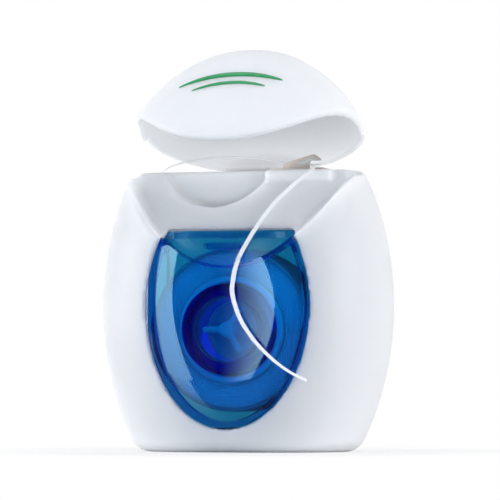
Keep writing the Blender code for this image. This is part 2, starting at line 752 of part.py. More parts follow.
def living_hinge():
    """Thin film between the flat lands of the back wall and of the lid."""
    mesh = bpy.data.meshes.new("living_hinge")
    shape = bmesh.new()
    rows = []
    lean = (math.sin(OPEN_ANGLE), math.cos(OPEN_ANGLE))
    profile = (
        (HINGE_Y, HINGE_Z - HINGE_FLANGE),
        (HINGE_Y, HINGE_Z - HINGE_FILM),
        (HINGE_Y + HINGE_FILM * lean[0], HINGE_Z + HINGE_FILM * lean[1]),
        (HINGE_Y + HINGE_FLANGE * lean[0], HINGE_Z + HINGE_FLANGE * lean[1]),
    )
    for x in (-HINGE_HALF_WIDTH, HINGE_HALF_WIDTH):
        rows.append([shape.verts.new((x, y, z)) for y, z in profile])
    for index in range(len(profile) - 1):
        shape.faces.new((rows[0][index], rows[1][index], rows[1][index + 1], rows[0][index + 1]))
    shape.to_mesh(mesh)
    shape.free()
    film = mesh_object("living_hinge", mesh)
    thicken = film.modifiers.new("Solidify", "SOLIDIFY")
    thicken.thickness = HINGE_FILM
    thicken.offset = 0.0
    return film


def spool_core():
    """Plain core of the bobbin, which turns on the hub."""
    profile = (
        (BOBBIN_BORE, BOBBIN_FRONT_DEPTH),
        (BOBBIN_RADIUS, BOBBIN_FRONT_DEPTH),
        (BOBBIN_RADIUS, -BOBBIN_BACK),
        (BOBBIN_BORE, -BOBBIN_BACK),
    )
    return turned("spool_core", profile, 0.0, 0.0)


def winding_pack():
    """Inner layers of floss, as one plain ring on the core."""
    half_bevel = FLOSS_WIDTH / 2
    inner = BOBBIN_RADIUS + TOUCH_GAP
    front = BOBBIN_FRONT_DEPTH - FLOSS_WIDTH / 2
    back = -BOBBIN_BACK + FLOSS_WIDTH / 2
    profile = (
        (inner, front),
        (PACK_RADIUS - half_bevel, front),
        (PACK_RADIUS, front - half_bevel),
        (PACK_RADIUS, back + half_bevel),
        (PACK_RADIUS - half_bevel, back),
        (inner, back),
    )
    return turned("winding_pack", profile, 0.0, 0.0)


def winding_points():
    """Points along the outermost layer of turns, a helix about the bobbin's axis with straight ends."""
    points = []
    middle = (BOBBIN_BACK - BOBBIN_FRONT_DEPTH) / 2
    total = WINDING_TURNS * WINDING_STEPS
    for step in range(total + 1):
        angle = 2.0 * math.pi * step / WINDING_STEPS
        advance = WINDING_PITCH * (step / WINDING_STEPS - WINDING_TURNS / 2)
        x = -WINDING_RADIUS * math.cos(angle)
        z = WINDING_RADIUS * math.sin(angle)
        points.append(Vector((x, middle + advance, z)))
    straight = Vector((0.0, 0.0, FLOSS_WIDTH))
    return [points[0] - straight] + points + [points[-1] + straight]


def least_gap(points, diameter):
    """Least gap of a wound tube to itself, measured between points of unlike turns."""
    apart = WINDING_STEPS // 2
    least = math.inf
    for index, point in enumerate(points):
        for other in points[index + apart:]:
            least = min(least, (point - other).length)
    return least - diameter


def tube(name, points, diameter, bevel_resolution):
    """A round tube with filled ends along points."""
    curve = bpy.data.curves.new(name, "CURVE")
    curve.dimensions = "3D"
    curve.bevel_depth = diameter / 2
    curve.bevel_resolution = bevel_resolution
    curve.use_fill_caps = True
    spline = curve.splines.new("POLY")
    spline.points.add(len(points) - 1)
    for point, place in zip(spline.points, points):
        point.co = (*place, 1.0)
    obj = bpy.data.objects.new(name, curve)
    bpy.context.scene.collection.objects.link(obj)
    return obj


def smooth_route(route, spacing):
    """Evenly spaced points on a smooth curve through the route's points."""
    route = [Vector(place) for place in route]
    padded = [2 * route[0] - route[1]] + route + [2 * route[-1] - route[-2]]
    fine = []
    for before, start, end, after in zip(padded, padded[1:], padded[2:], padded[3:]):
        for step in range(ROUTE_STEPS):
            t = step / ROUTE_STEPS
            fine.append(0.5 * (
                2.0 * start + (end - before) * t
                + (2.0 * before - 5.0 * start + 4.0 * end - after) * t ** 2
                + (3.0 * start - before - 3.0 * end + after) * t ** 3))
    fine.append(route[-1])
    length = sum((b - a).length for a, b in zip(fine, fine[1:]))
    count = max(2, round(length / spacing))
    points = [fine[0]]
    travelled = 0.0
    target = length / count
    for a, b in zip(fine, fine[1:]):
        span = (b - a).length
        while travelled + span >= target and len(points) < count:
            points.append(a.lerp(b, (target - travelled) / span))
            target += length / count
        travelled += span
    points.append(fine[-1])
    return points


def floss_feed():
    """Inner run of floss, from beside the last turn of the winding up through the outlet."""
    start = winding_points()[-1]
    level = HUB_LEVEL + start.z
    route = (
        (FEED_X, start.y, level),
        (FEED_X, start.y, level + WINDING_RADIUS),
        (OUTLET_X, OUTLET_Y, BODY_HEIGHT - OUTLET_COLLAR_LENGTH),
        (OUTLET_X, OUTLET_Y, BODY_HEIGHT),
    )
    return tube("floss_feed", smooth_route(route, 3 * FLOSS_WIDTH), FLOSS_WIDTH, 2)


def floss_strand():
    """Free floss, from the outlet to its cut end."""
    return tube("floss_strand", smooth_route(FLOSS_ROUTE, 2 * FLOSS_WIDTH), FLOSS_WIDTH, 2)


def cutter_leg_spans():
    """Left and right sides of the cutter's two legs."""
    return (
        (CUTTER_LEFT, CUTTER_LEFT + CUTTER_LEG_WIDTH),
        (CUTTER_RIGHT - CUTTER_LEG_WIDTH, CUTTER_RIGHT),
    )


def cutter():
    """Bent sheet-metal clip: a base plate, two legs behind it and the raised tooth."""
    top = BODY_HEIGHT + CUTTER_PROUD
    base = box(
        "cutter",
        (CUTTER_LEFT, CUTTER_FRONT, top - CUTTER_SHEET),
        (CUTTER_RIGHT, CUTTER_BACK, top))
    for left, right in cutter_leg_spans():
        join(base, box(
            "leg",
            (left, CUTTER_BACK - CUTTER_SHEET, top - CUTTER_LEG_LENGTH),
            (right, CUTTER_BACK, top - CUTTER_SHEET / 2)))
    width = CUTTER_RIGHT - CUTTER_LEFT
    heel = CUTTER_LEFT + TOOTH_HEEL_SHARE * width
    notch_left = CUTTER_LEFT + TOOTH_NOTCH_SHARE * width
    peak_left, peak_right = [CUTTER_LEFT + share * width for share in TOOTH_PEAK_SHARES]
    tip = CUTTER_LEFT + TOOTH_TIP_SHARE * width
    root = top - CUTTER_SHEET / 2
    outline = (
        (heel, root),
        (notch_left, root),
        (notch_left, top + NOTCH_HEIGHT - TOOTH_CORNER),
        (notch_left + TOOTH_CORNER, top + NOTCH_HEIGHT),
        (tip, top + NOTCH_HEIGHT),
        (tip, top + NOTCH_HEIGHT + TOOTH_CORNER),
        (peak_right, top + TOOTH_HEIGHT),
        (peak_left, top + TOOTH_HEIGHT),
        (heel, top + TOOTH_HEEL_HEIGHT),
    )
    tooth = flat_plate("tooth", outline, TOOTH_Y - CUTTER_SHEET / 2, TOOTH_Y + CUTTER_SHEET / 2)
    return join(base, tooth)


def finish_part(obj, collection, material):
    """File a finished sub-part under its collection, material and shading."""
    for owner in list(obj.users_collection):
        owner.objects.unlink(obj)
    collection.objects.link(obj)
    obj.data.materials.clear()
    obj.data.materials.append(material)
    if obj.type == "MESH":
        obj.data.shade_smooth()
        obj.data.set_sharp_from_angle(angle=math.radians(SMOOTH_DEGREES))
    return obj


def main():
    """Build the dispenser."""
    clear_scene()
    parts = new_collection("floss_dispenser")
    white = new_material("white_plastic", WHITE, 0.35)
    blue = new_material("blue_plastic", BLUE, 0.12)
    floss = new_material("floss", FLOSS_WHITE, 0.6)
    grey = new_material("core_plastic", CORE_GREY, 0.5)
    steel = new_material("steel", STEEL, 0.3, 1.0)
    housing = housing_solid()
    finish_part(front_shell(housing), parts, white)
    finish_part(rear_shell(housing), parts, white)
    bpy.data.objects.remove(housing, do_unlink=True)
    finish_part(window_insert(), parts, blue)
    finish_part(lid(), parts, white)
    finish_part(living_hinge(), parts, white)
    finish_part(cutter(), parts, steel)
    turns = winding_points()
    print("least gap between the turns, in metres:", round(least_gap(turns, FLOSS_WIDTH), 6))
    outer_layer = tube("winding_outer_layer", turns, FLOSS_WIDTH, 1)
    for obj, material in ((spool_core(), grey), (winding_pack(), floss), (outer_layer, floss)):
        obj.location = (0.0, 0.0, HUB_LEVEL)
        finish_part(obj, parts, material)
    finish_part(floss_feed(), parts, floss)
    finish_part(floss_strand(), parts, floss)


main()
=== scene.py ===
"""Looks of the floss dispenser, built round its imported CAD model. Metres, +Z up, front on -Y."""
import json
import math

import bmesh
import bpy
import numpy as np
from mathutils import Matrix, Vector

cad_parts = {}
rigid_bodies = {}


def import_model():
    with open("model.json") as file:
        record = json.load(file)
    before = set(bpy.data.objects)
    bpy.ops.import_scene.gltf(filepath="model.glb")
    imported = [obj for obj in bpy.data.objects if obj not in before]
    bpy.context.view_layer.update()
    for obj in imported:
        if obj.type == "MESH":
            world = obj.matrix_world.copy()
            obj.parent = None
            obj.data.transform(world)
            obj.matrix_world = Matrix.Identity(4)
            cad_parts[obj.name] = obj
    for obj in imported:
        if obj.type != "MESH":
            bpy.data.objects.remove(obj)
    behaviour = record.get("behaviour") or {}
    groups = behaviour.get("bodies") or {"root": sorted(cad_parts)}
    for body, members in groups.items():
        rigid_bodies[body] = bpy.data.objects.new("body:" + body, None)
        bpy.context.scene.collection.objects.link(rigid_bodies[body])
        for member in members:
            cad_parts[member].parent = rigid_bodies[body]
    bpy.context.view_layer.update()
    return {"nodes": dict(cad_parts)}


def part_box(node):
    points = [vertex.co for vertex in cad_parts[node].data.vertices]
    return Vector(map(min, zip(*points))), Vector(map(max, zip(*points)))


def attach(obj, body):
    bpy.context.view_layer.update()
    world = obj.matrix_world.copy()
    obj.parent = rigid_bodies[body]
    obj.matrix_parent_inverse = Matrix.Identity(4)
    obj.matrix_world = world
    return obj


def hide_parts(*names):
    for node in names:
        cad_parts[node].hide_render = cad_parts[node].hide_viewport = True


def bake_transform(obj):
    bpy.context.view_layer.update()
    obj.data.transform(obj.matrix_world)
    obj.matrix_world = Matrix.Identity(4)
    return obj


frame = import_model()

# Camera, from a fit of the outline in the photograph
FRAME_PIXELS = 500
PIXELS_AT_ONE_METRE = 3540
CAMERA_AZIMUTH = 16.44
CAMERA_DISTANCE = 0.600
CAMERA_HEIGHT = 0.0112
AIM = (0.0001, 0.0, 0.03407)
SENSOR = 36.0

# Outer form when closed, as in the CAD model; each arc has its greatest size, radius and level
BODY_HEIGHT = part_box("front_shell")[1].z
HALF_WIDTH = 0.0252
FRONT_DEPTH = 0.0154
BACK_DEPTH = 0.0124
FRONT_ARC = (FRONT_DEPTH, 0.240, 0.022)
FORM_ARCS = ((HALF_WIDTH, 0.0518, 0.0246), FRONT_ARC, (BACK_DEPTH, 0.120, 0.024))
FRONT_POWER = 2.35
BACK_POWER = 1.8
BASE_ROUND = 0.0019
SHOULDER_ROUND = 0.0009
DOME_HEIGHT = 0.0134
DOME_LEAN = 0.0027
DOME_POWERS = ((2.45, 2.21), (2.62, 1.89), (2.2, 2.2))

# Walls, clearances and the parting line of the lid
SHELL_WALL = 0.0013
LID_WALL = 0.0012
GAP = 0.0003
STRAND_CLEARANCE = 0.0004
OVERRUN = 0.004
LIP_HALF_WIDTH = 0.0201
LIP_DROP = 0.0149
SEAT_DROP = 0.0163
LIP_END_RISE = 0.0001
LIP_POWER = 2.14

# Recess, scoop, the block that carries the cutter, and the seam with its tongue
SLOPE_FOOT_DEPTH = 0.0114
SLOPE_TOP_DEPTH = 0.0035
SCOOP_RADIUS = 0.010
SCOOP_CENTRE_X = -0.0043
SCOOP_DEPTH = 0.0063
SCOOP_BACK_DEPTH = 0.0037
BLOCK_LEFT = 0.0043
BLOCK_RIGHT = 0.0160
BLOCK_DEPTH = 0.0062
BLOCK_HEIGHT = 0.0021
BLOCK_ROUND = 0.0006
SPLIT_DEPTH = 0.003
TONGUE_PLAY = 0.0002
TONGUE_WALL = 0.0006
TONGUE_REACH = 0.0010

# Ridges of the recess, rounded more broadly: how far on the left and right, and from where
RIDGE_REACH = (0.0022, 0.0040)
RIDGE_START = 0.0012
RIDGE_BACK = -0.0005
RIDGE_LEAN = 0.75
RIDGE_PASSES = 60

# Window
WINDOW_TOP = 0.0369
WINDOW_BOTTOM = 0.0041
WINDOW_LEVEL = 0.0244
WINDOW_HALF_WIDTH = 0.0139
WINDOW_TOP_HALF_WIDTH = 0.0107
WINDOW_WALL = 0.0013
WINDOW_RIM = 0.0011
WINDOW_FLANGE = 0.0014
WINDOW_FLANGE_WALL = 0.001
CATCH_BAR = ((-0.0041, 0.0022), 0.0343, 0.0011, 0.0004)
BAR_ROOT = 0.0012
TOP_RIB = 0.0010
SHELF_WALL = 0.0004
MATT_INSIDE = 0.05
MATT_SEAT = 0.2
MATT_FACING = 0.3

# Hub, post and bobbin
HUB_LEVEL = 0.0204
HUB_RADIUS = 0.0075
HUB_BORE_RADIUS = 0.0055
HUB_BORE_END_RADIUS = 0.0050
HUB_END_DEPTH = 0.0070
COLLAR_BORE_RADIUS = 0.0048
SHOULDER_RADIUS = 0.0095
POST_RADIUS = 0.0044
POST_RIB = 0.0011
POST_RIB_COUNT = 3
POST_CORE_RADIUS = 0.0014
POST_END_DEPTH = 0.0127
WEB_DEPTHS = (-0.0062, -0.0050)
BOBBIN_FRONT = 0.0108
BOBBIN_WIDTH = 0.0116
BOBBIN_WALL = 0.0012
BOBBIN_CHAMFER = 0.0003

# Winding: the CAD model's, and the finer turns and layers that show
PACK_RADIUS = 0.0126
CORD_PITCH = 0.00128
CORD_TURNS = 8
TURN_DIAMETER = 0.0005
TURN_PITCH = 0.00053
TURN_STRETCH = 1.3
TURN_COUNT = 20
LAYER_COUNT = 14
LAYER_RIPPLE = 0.00006

# Floss tape, outlet and cutter
TAPE_WIDTH = 0.00074
TAPE_THICKNESS = 0.00016
TAPE_POWERS = (0.55, 0.9)
FEED_TAPE_WIDTH = TAPE_WIDTH / 1.2
CORD_DIAMETER = 0.0008
OUTLET_X = -0.0155
OUTLET_Y = 0.0004
OUTLET_RADIUS = 0.0009
OUTLET_COLLAR = (0.0017, 0.0022)
CUTTER_X = (0.0050, 0.0142)
CUTTER_Y = (-0.0046, 0.0012)
CUTTER_SHEET = 0.00035
CUTTER_PROUD = 0.0003
CUTTER_LEG = (0.0022, 0.0026)
CUTTER_EDGE = 0.00007
TOOTH_Y = -0.0015
TOOTH_HEIGHT = 0.0024
TOOTH_HEEL_HEIGHT = 0.0009
TOOTH_CORNER = 0.00025
TOOTH_WIDTH_SHARES = (0.14, 0.66, 0.70, 0.76, 0.87)
NOTCH_HEIGHT = 0.0014

# Hinge: its angles, its land and pockets, and the film, which is thinnest at the bend
OPEN_ANGLE = math.radians(40.0)
RUNOUT_ANGLE = math.radians(60.0)
HINGE_LAND_DEPTH = 0.0090
HINGE_POCKET = 0.003
HINGE_HALF_WIDTH = 0.0074
HINGE_FILM = 0.0004
HINGE_FLANGE = 0.0024
HINGE_EDGE = 0.00008
FILM_THIN_SHARE = 0.55
FILM_GROWTH = 2.5
FILM_SPACING = 1.6

# Printed lines on the lid: both ends in X and Z of the shut lid, rise and thickness of each
ACCENT_LINES = (
    ((-0.0100, 0.0466), (0.0082, 0.0474), 0.0014, 0.0010),
    ((-0.0072, 0.0449), (0.0056, 0.0455), 0.0011, 0.0007),
)
PRINT_LIFT = 0.00004
PRINT_THICKNESS = 0.00006
PRINT_TIP = 0.00002
PRINT_POWER = 2.5

# How deep light spreads in each material
WHITE_DEPTH = 0.0045
DENSE_DEPTH = 0.0038
FILM_DEPTH = 0.0006
TAPE_DEPTH = 0.0005
WOUND_DEPTH = 0.0025
PLASTIC_IOR = 1.49

# Studio: light and mirrored tone of the room in front and of the backdrop, and where they meet
ROOM_LIGHT = ((0.20, 0.25, 0.32), (0.72, 0.72, 0.72))
ROOM_GLOSS = ((0.05, 0.06, 0.08), (0.75, 0.75, 0.75))
BACKDROP_EDGE = (-0.3, 0.5)

# Glowing cards: both sides of each in degrees with their bend, and the level of least bend; then
# the glow at foot and top, and the share of the width over which it fades in
CARD_DISTANCE = 0.16
CARD_LEVELS = (0.0, 0.056)
CARD_REACH = 0.040
CARD_ROWS = 24
CARD_TONE = (0.50, 0.90, 1.0)
LEFT_CARD = ((-46.8, 6.1), (-35.6, 11.0), 0.036)
LEFT_GLOW = ((6.0, 10.0), 0.15)
FRONT_CARD = ((-17.0, 0.0), (4.3, -19.0), 0.029)
FRONT_GLOW = ((6.5, 9.0), 1.0)
FOOT_TIP = (0.0076, -0.026, 0.0008)
FOOT_SIDES = (-50.5, -37.0)
FOOT_REACH = (0.022, 0.147)
FOOT_GLOW = ((0.3, 6.0), 0.3)

# Lamps: degrees from the front, distance and height, then both sides and watts
LAMP_AIM = (0.0, 0.0, 0.03)
LAMPS = {
    "right_box": ((54.0, 0.8, 0.13), (0.5, 0.26), 4.2),
    "left_box": ((-70.0, 0.8, 0.13), (0.5, 0.26), 4.6),
    "top_box": ((0.0, 0.0, 0.9), (0.8, 0.8), 3.0),
}

# Floor: its tones and glow, and the dark wedge in front that only bounced light meets
FLOOR_HALF = 6.0
FLOOR_TONES = ((0.14, 0.17, 0.22), (0.9, 0.9, 0.9))
FLOOR_GLOW = (0.6, 1.0)
FLOOR_FADE = (0.03, 0.055)
WEDGE_EDGE = (-0.025, 0.004)
WEDGE_SLANT = 0.8

# Fineness, in metres and counts
RING_POINTS = 160
BODY_STEPS = 40
EDGE_STEPS = 5
DOME_STEPS = 36
OUTLINE_STEPS = 40
TURNED_STEPS = 96
TURN_STEPS = 48
TURN_SIDES = 8
TAPE_SIDES = 16
ROUTE_STEPS = 12
FILM_STEPS = 8
FILM_COLUMNS = 24
PRINT_STEPS = 60
MELT_PASSES = 6
VOXEL = 0.0003
LEAST_WEIGHT = 0.01

# Worked out from the values above
DOME_TOP = BODY_HEIGHT + DOME_HEIGHT
LID_SEAT_DEPTH = LID_WALL + GAP
WINDOW_SEAT_DEPTH = LID_SEAT_DEPTH + CORD_DIAMETER + STRAND_CLEARANCE
SLOPE_FOOT_LEVEL = WINDOW_TOP + GAP
HINGE = Vector((0.0, HINGE_LAND_DEPTH + GAP + HINGE_FILM / 2, BODY_HEIGHT + GAP / 2))
LID_UP = Vector((0.0, math.sin(OPEN_ANGLE), math.cos(OPEN_ANGLE)))
OPENING = Matrix.Translation(HINGE) @ Matrix.Rotation(-OPEN_ANGLE, 4, "X") @ Matrix.Translation(-HINGE)
LEG_SPANS = ((CUTTER_X[0], CUTTER_X[0] + CUTTER_LEG[0]), (CUTTER_X[1] - CUTTER_LEG[0], CUTTER_X[1]))
BOBBIN_BACK = BOBBIN_WIDTH - BOBBIN_FRONT
BOBBIN_MIDDLE = (BOBBIN_BACK - BOBBIN_FRONT) / 2
BOBBIN_BORE = HUB_RADIUS + GAP
BOBBIN_RADIUS = BOBBIN_BORE + BOBBIN_WALL
WINDING_RADIUS = PACK_RADIUS + GAP + CORD_DIAMETER / 2
FEED_X = -(WINDING_RADIUS + CORD_DIAMETER + GAP)

# Route of the free floss, near that of the CAD model
FLOSS_ROUTE = (
    (-0.0155, 0.0004, 0.0474), (-0.0151, 0.0004, 0.0480), (-0.0138, 0.0004, 0.0486),
    (-0.0115, 0.0004, 0.0492), (-0.0084, 0.0004, 0.0497), (-0.0042, 0.0004, 0.0500),
    (0.0016, 0.0003, 0.0496), (0.0062, -0.0002, 0.0487), (0.0095, -0.0005, 0.0484),
    (0.0118, -0.0007, 0.0483), (0.0129, -0.0015, 0.0483), (0.0131, -0.0034, 0.0481),
    (0.0130, -0.0055, 0.0478), (0.0126, -0.0070, 0.0469), (0.0115, -0.0078, 0.0458),
    (0.0096, -0.0084, 0.0441), (0.0070, -0.0100, 0.0412), (0.0048, -0.0126, 0.0372),
    (0.0031, -0.0132, 0.0342), (0.0024, -0.0135, 0.0328), (0.0023, -0.0144, 0.0321),
    (0.0025, -0.0154, 0.0316), (0.0023, -0.0160, 0.0305), (0.0020, -0.0162, 0.0288),
    (0.0019, -0.0164, 0.0262), (0.0032, -0.0166, 0.0223), (0.0056, -0.0168, 0.0187),
    (0.0085, -0.0166, 0.0157), (0.0113, -0.0160, 0.0135), (0.0142, -0.0150, 0.0119),
)

# Where along the free floss it turns and twists, and where its face looks
STRAND_TURN = (0.38, 0.50)
STRAND_TWIST = (0.72, 1.0)
STRAND_FLAT = Vector((0.0, -0.3, 0.95))
STRAND_FRONT = Vector((0.25, -1.0, 0.55))
STRAND_END = Vector((0.60, -0.5, 0.95))


def scene_object(name, data):
    """A scene object for a mesh, camera or light."""
    obj = bpy.data.objects.new(name, data)
    bpy.context.scene.collection.objects.link(obj)
    return obj


def add_modifier(obj, kind, **settings):
    """Give an object a modifier with its settings."""
    modifier = obj.modifiers.new(kind, kind)
    for setting, value in settings.items():
        setattr(modifier, setting, value)
    return obj


def settle(obj):
    """Apply the object's modifiers and its place to its mesh."""
    bpy.context.view_layer.update()
    depsgraph = bpy.context.evaluated_depsgraph_get()
    mesh = bpy.data.meshes.new_from_object(obj.evaluated_get(depsgraph), depsgraph=depsgraph)
    mesh.transform(obj.matrix_world)
    obj.modifiers.clear()
    obj.data = mesh
    obj.matrix_world = Matrix.Identity(4)
    return obj


def combine(target, other, operation):
    """Join, cut or intersect a solid with another, which is then removed."""
    settle(add_modifier(target, "BOOLEAN", operation=operation, solver="MANIFOLD", object=other))
    bpy.data.objects.remove(other, do_unlink=True)
    return target


def cut(target, other):
    return combine(target, other, "DIFFERENCE")


def join(target, other):
    return combine(target, other, "UNION")


def common(target, other):
    return combine(target, other, "INTERSECT")


def round_edges(obj, width, segments=3, angle=30.0):
    """Round the sharp edges of a solid."""
    return settle(add_modifier(
        obj, "BEVEL", width=width, segments=segments, limit_method="ANGLE", angle_limit=math.radians(angle)))


def melt(obj):
    """Remake a solid in small even faces and smooth it, rounding its edges."""
    add_modifier(obj, "REMESH", mode="VOXEL", voxel_size=VOXEL)
    return settle(add_modifier(obj, "SMOOTH", factor=0.5, iterations=MELT_PASSES))


def share_between(value, low, high):
    """How far a value lies between two others, from 0 to 1."""
    return np.clip((value - low) / (high - low), 0.0, 1.0)


def eased(share):
    """A share with a soft start and end."""
    return share * share * (3.0 - 2.0 * share)


def bulge(value, power):
    """A value raised to a power, with its sign kept."""
    return math.copysign(abs(value) ** power, value)


def spread(start, end, count):
    """Evenly spaced values from start to end."""
    return [start + (end - start) * step / count for step in range(count + 1)]


def circle(radius, count, phase=0.0):
    """Pairs round a circle, turned on by a phase in steps."""
    angles = [2.0 * math.pi * (step + phase) / count for step in range(count)]
    return [(radius * math.cos(angle), radius * math.sin(angle)) for angle in angles]


def arc_size(size, radius, level, z):
    """Half size at a height, on an arc that bulges most at its level."""
    return size - (radius - math.sqrt(radius ** 2 - (z - level) ** 2))


def form_sizes(z):
    """Half width, front depth and back depth of the closed form at a height."""
    return [arc_size(*arc, min(z, BODY_HEIGHT)) for arc in FORM_ARCS]


def dome_sizes(share, inset):
    """Sizes of the dome at a share of its height, inside its surface by the inset."""
    rise = share * (DOME_HEIGHT - inset)
    sizes = []
    for (size, radius, level), (inner, outer) in zip(FORM_ARCS, DOME_POWERS):
        start = arc_size(size, radius, level, BODY_HEIGHT) - inset
        climb = BODY_HEIGHT - level
        slope = -climb / math.sqrt(radius ** 2 - climb ** 2)
        sizes.append((start + slope * rise) * (1.0 - share ** inner) ** (1.0 / outer))
    width, front, back = sizes
    lean = DOME_LEAN * share ** 2
    return width, front + lean, back - lean


def ring(width, front, back, z):
    """One plan section: a superellipse with a squarer front than back."""
    points = []
    for across, along in circle(1.0, RING_POINTS):
        power, depth = (FRONT_POWER, front) if along < 0.0 else (BACK_POWER, back)
        points.append((bulge(across, 2.0 / power) * width, bulge(along, 2.0 / power) * depth, z))
    return points


def loft(name, rings, closed=False):
    """Solid through rings of equal counts, capped at both ends or joined end to end."""
    mesh = bpy.data.meshes.new(name)
    shape = bmesh.new()
    rows = [[shape.verts.new(point) for point in points] for points in rings]
    count = len(rows[0])
    pairs = list(zip(rows, rows[1:]))
    if closed:
        pairs.append((rows[-1], rows[0]))
    for low, high in pairs:
        for index in range(count):
            following = (index + 1) % count
            shape.faces.new((low[index], low[following], high[following], high[index]))
    if not closed:
        shape.faces.new(list(reversed(rows[0])))
        shape.faces.new(rows[-1])
    bmesh.ops.recalc_face_normals(shape, faces=shape.faces)
    shape.to_mesh(mesh)
    shape.free()
    return scene_object(name, mesh)


def sheet(name, rows):
    """An open surface through rows of equally many points."""
    count = len(rows[0])
    faces = []
    for row in range(len(rows) - 1):
        for corner in range(row * count, row * count + count - 1):
            faces.append((corner, corner + 1, corner + count + 1, corner + count))
    mesh = bpy.data.meshes.new(name)
    mesh.from_pydata([tuple(point) for points in rows for point in points], [], faces)
    return scene_object(name, mesh)


def sweep(name, stations, section):
    """A section swept through stations, each a point and the section's two directions there."""
    rings = []
    for point, across, outward in stations:
        rings.append([tuple(point + across * a + outward * b) for a, b in section])
    return loft(name, rings)


def body_form(name, inset, low, high, top_round=0.0):
    """The closed form's lower part, inside its surface by the inset, with rounded ends."""
    quarter = circle(1.0, 4 * EDGE_STEPS)[:EDGE_STEPS + 1]
    end = high - top_round
    levels = [(low + BASE_ROUND * (1.0 - a), BASE_ROUND * (1.0 - b)) for a, b in quarter[:-1]]
    levels += [(z, 0.0) for z in spread(low + BASE_ROUND, end, BODY_STEPS)]
    levels += [(end + top_round * b, top_round * (1.0 - a)) for a, b in quarter[1:]]
    rings = []
    for z, rounding in levels:
        width, front, back = form_sizes(z)
        shrink = inset + rounding
        rings.append(ring(width - shrink, front - shrink, back - shrink, z))
    return loft(name, rings)


def lid_form(name, inset, low):
    """The closed form's upper part, down to a level under the lip, inside by the inset."""
    rings = []
    for z in spread(low, BODY_HEIGHT, BODY_STEPS // 2)[:-1]:
        width, front, back = form_sizes(z)
        rings.append(ring(width - inset, front - inset, back - inset, z))
    for step in range(DOME_STEPS):
        share = math.sin(0.5 * math.pi * step / (DOME_STEPS - 0.5))
        rings.append(ring(*dome_sizes(share, inset), BODY_HEIGHT + share * (DOME_HEIGHT - inset)))
    return loft(name, rings)


def box(name, low, high):
    """A box between two corners."""
    (x0, y0, z0), (x1, y1, z1) = low, high
    return loft(name, [[(x0, y0, z), (x1, y0, z), (x1, y1, z), (x0, y1, z)] for z in (z0, z1)])


def rod(name, near_radius, far_radius, near, far, x=0.0, z=HUB_LEVEL):
    """A cylinder or cone along Y, on the hub's axis or elsewhere."""
    rings = []
    for radius, y in ((near_radius, near), (far_radius, far)):
        rings.append([(x + a, y, z + b) for a, b in circle(radius, TURNED_STEPS, 0.5)])
    return loft(name, rings)


def outlet_rod(radius, low, high):
    """An upright cylinder at the floss outlet."""
    plan = [(OUTLET_X + a, OUTLET_Y + b) for a, b in circle(radius, TURNED_STEPS // 2)]
    return loft("outlet", [[(x, y, z) for x, y in plan] for z in (low, high)])


def turned(name, profile):
    """A ring turned about the hub's axis, from a closed profile of (radius, Y) pairs."""
    rings = [[(r * a, y, HUB_LEVEL + r * b) for r, y in profile] for a, b in circle(1.0, TURNED_STEPS)]
    return loft(name, rings, closed=True)


def flat_plate(name, outline, near, far):
    """A plate with an outline in X and Z, between two depths in Y."""
    return loft(name, [[(x, y, z) for x, z in outline] for y in (near, far)])


def side_plate(name, outline, reach):
    """A plate with an outline in Y and Z, as far to the left as to the right."""
    return loft(name, [[(x, y, z) for y, z in outline] for x in (-reach, reach)])


def half_space(near, far):
    """A slab between two depths that spans the whole housing."""
    reach = HALF_WIDTH + OVERRUN
    return box("slab", (-reach, near, -OVERRUN), (reach, far, DOME_TOP + OVERRUN))


def lip_level(x, drop):
    """Height of the U-shaped parting line over a place, or places, across the front."""
    share = np.minimum(np.abs(x) / LIP_HALF_WIDTH, 1.0)
    return BODY_HEIGHT - drop * (1.0 - share ** LIP_POWER)


def lip_outline(drop, lower):
    """Outline in X and Z of all that lies above the parting line."""
    reach = HALF_WIDTH + OVERRUN
    ceiling = DOME_TOP + OVERRUN
    end_level = BODY_HEIGHT - lower + LIP_END_RISE
    points = []
    for x in spread(-LIP_HALF_WIDTH, LIP_HALF_WIDTH, 2 * OUTLINE_STEPS):
        points.append((x, lip_level(x, drop) - lower))
    return points + [(reach, end_level), (reach, ceiling), (-reach, ceiling), (-reach, end_level)]


def slope_wedge(inside, top):
    """All that lies behind and below the recess slope, inside it by a wall."""
    run = SLOPE_FOOT_DEPTH - SLOPE_TOP_DEPTH
    rise = BODY_HEIGHT - SLOPE_FOOT_LEVEL
    shift = inside * math.hypot(run, rise) / rise
    front = FRONT_DEPTH + OVERRUN
    back = BACK_DEPTH + OVERRUN
    floor_level = SLOPE_FOOT_LEVEL - (front - SLOPE_FOOT_DEPTH) * rise / run
    top_y = -SLOPE_TOP_DEPTH + shift - (BODY_HEIGHT - top) * run / rise
    outline = (
        (-front + shift, -OVERRUN), (-front + shift, floor_level), (top_y, top), (back, top),
        (back, -OVERRUN))
    return side_plate("wedge", outline, HALF_WIDTH + OVERRUN)


def stepped_form(name, skin, seat, lower, top_inset):
    """The housing's form inside its surface by the skin, and by the seat where the lid covers it."""
    top = BODY_HEIGHT - top_inset
    form = body_form(name, skin, skin, top, SHOULDER_ROUND if skin == 0.0 else 0.0)
    covered = flat_plate("covered", lip_outline(SEAT_DROP, lower), -FRONT_DEPTH - OVERRUN, GAP + lower)
    core = body_form("core", seat, skin, top + OVERRUN)
    common(core, slope_wedge(top_inset, top + 2 * OVERRUN))
    cut(covered, core)
    return cut(form, covered)


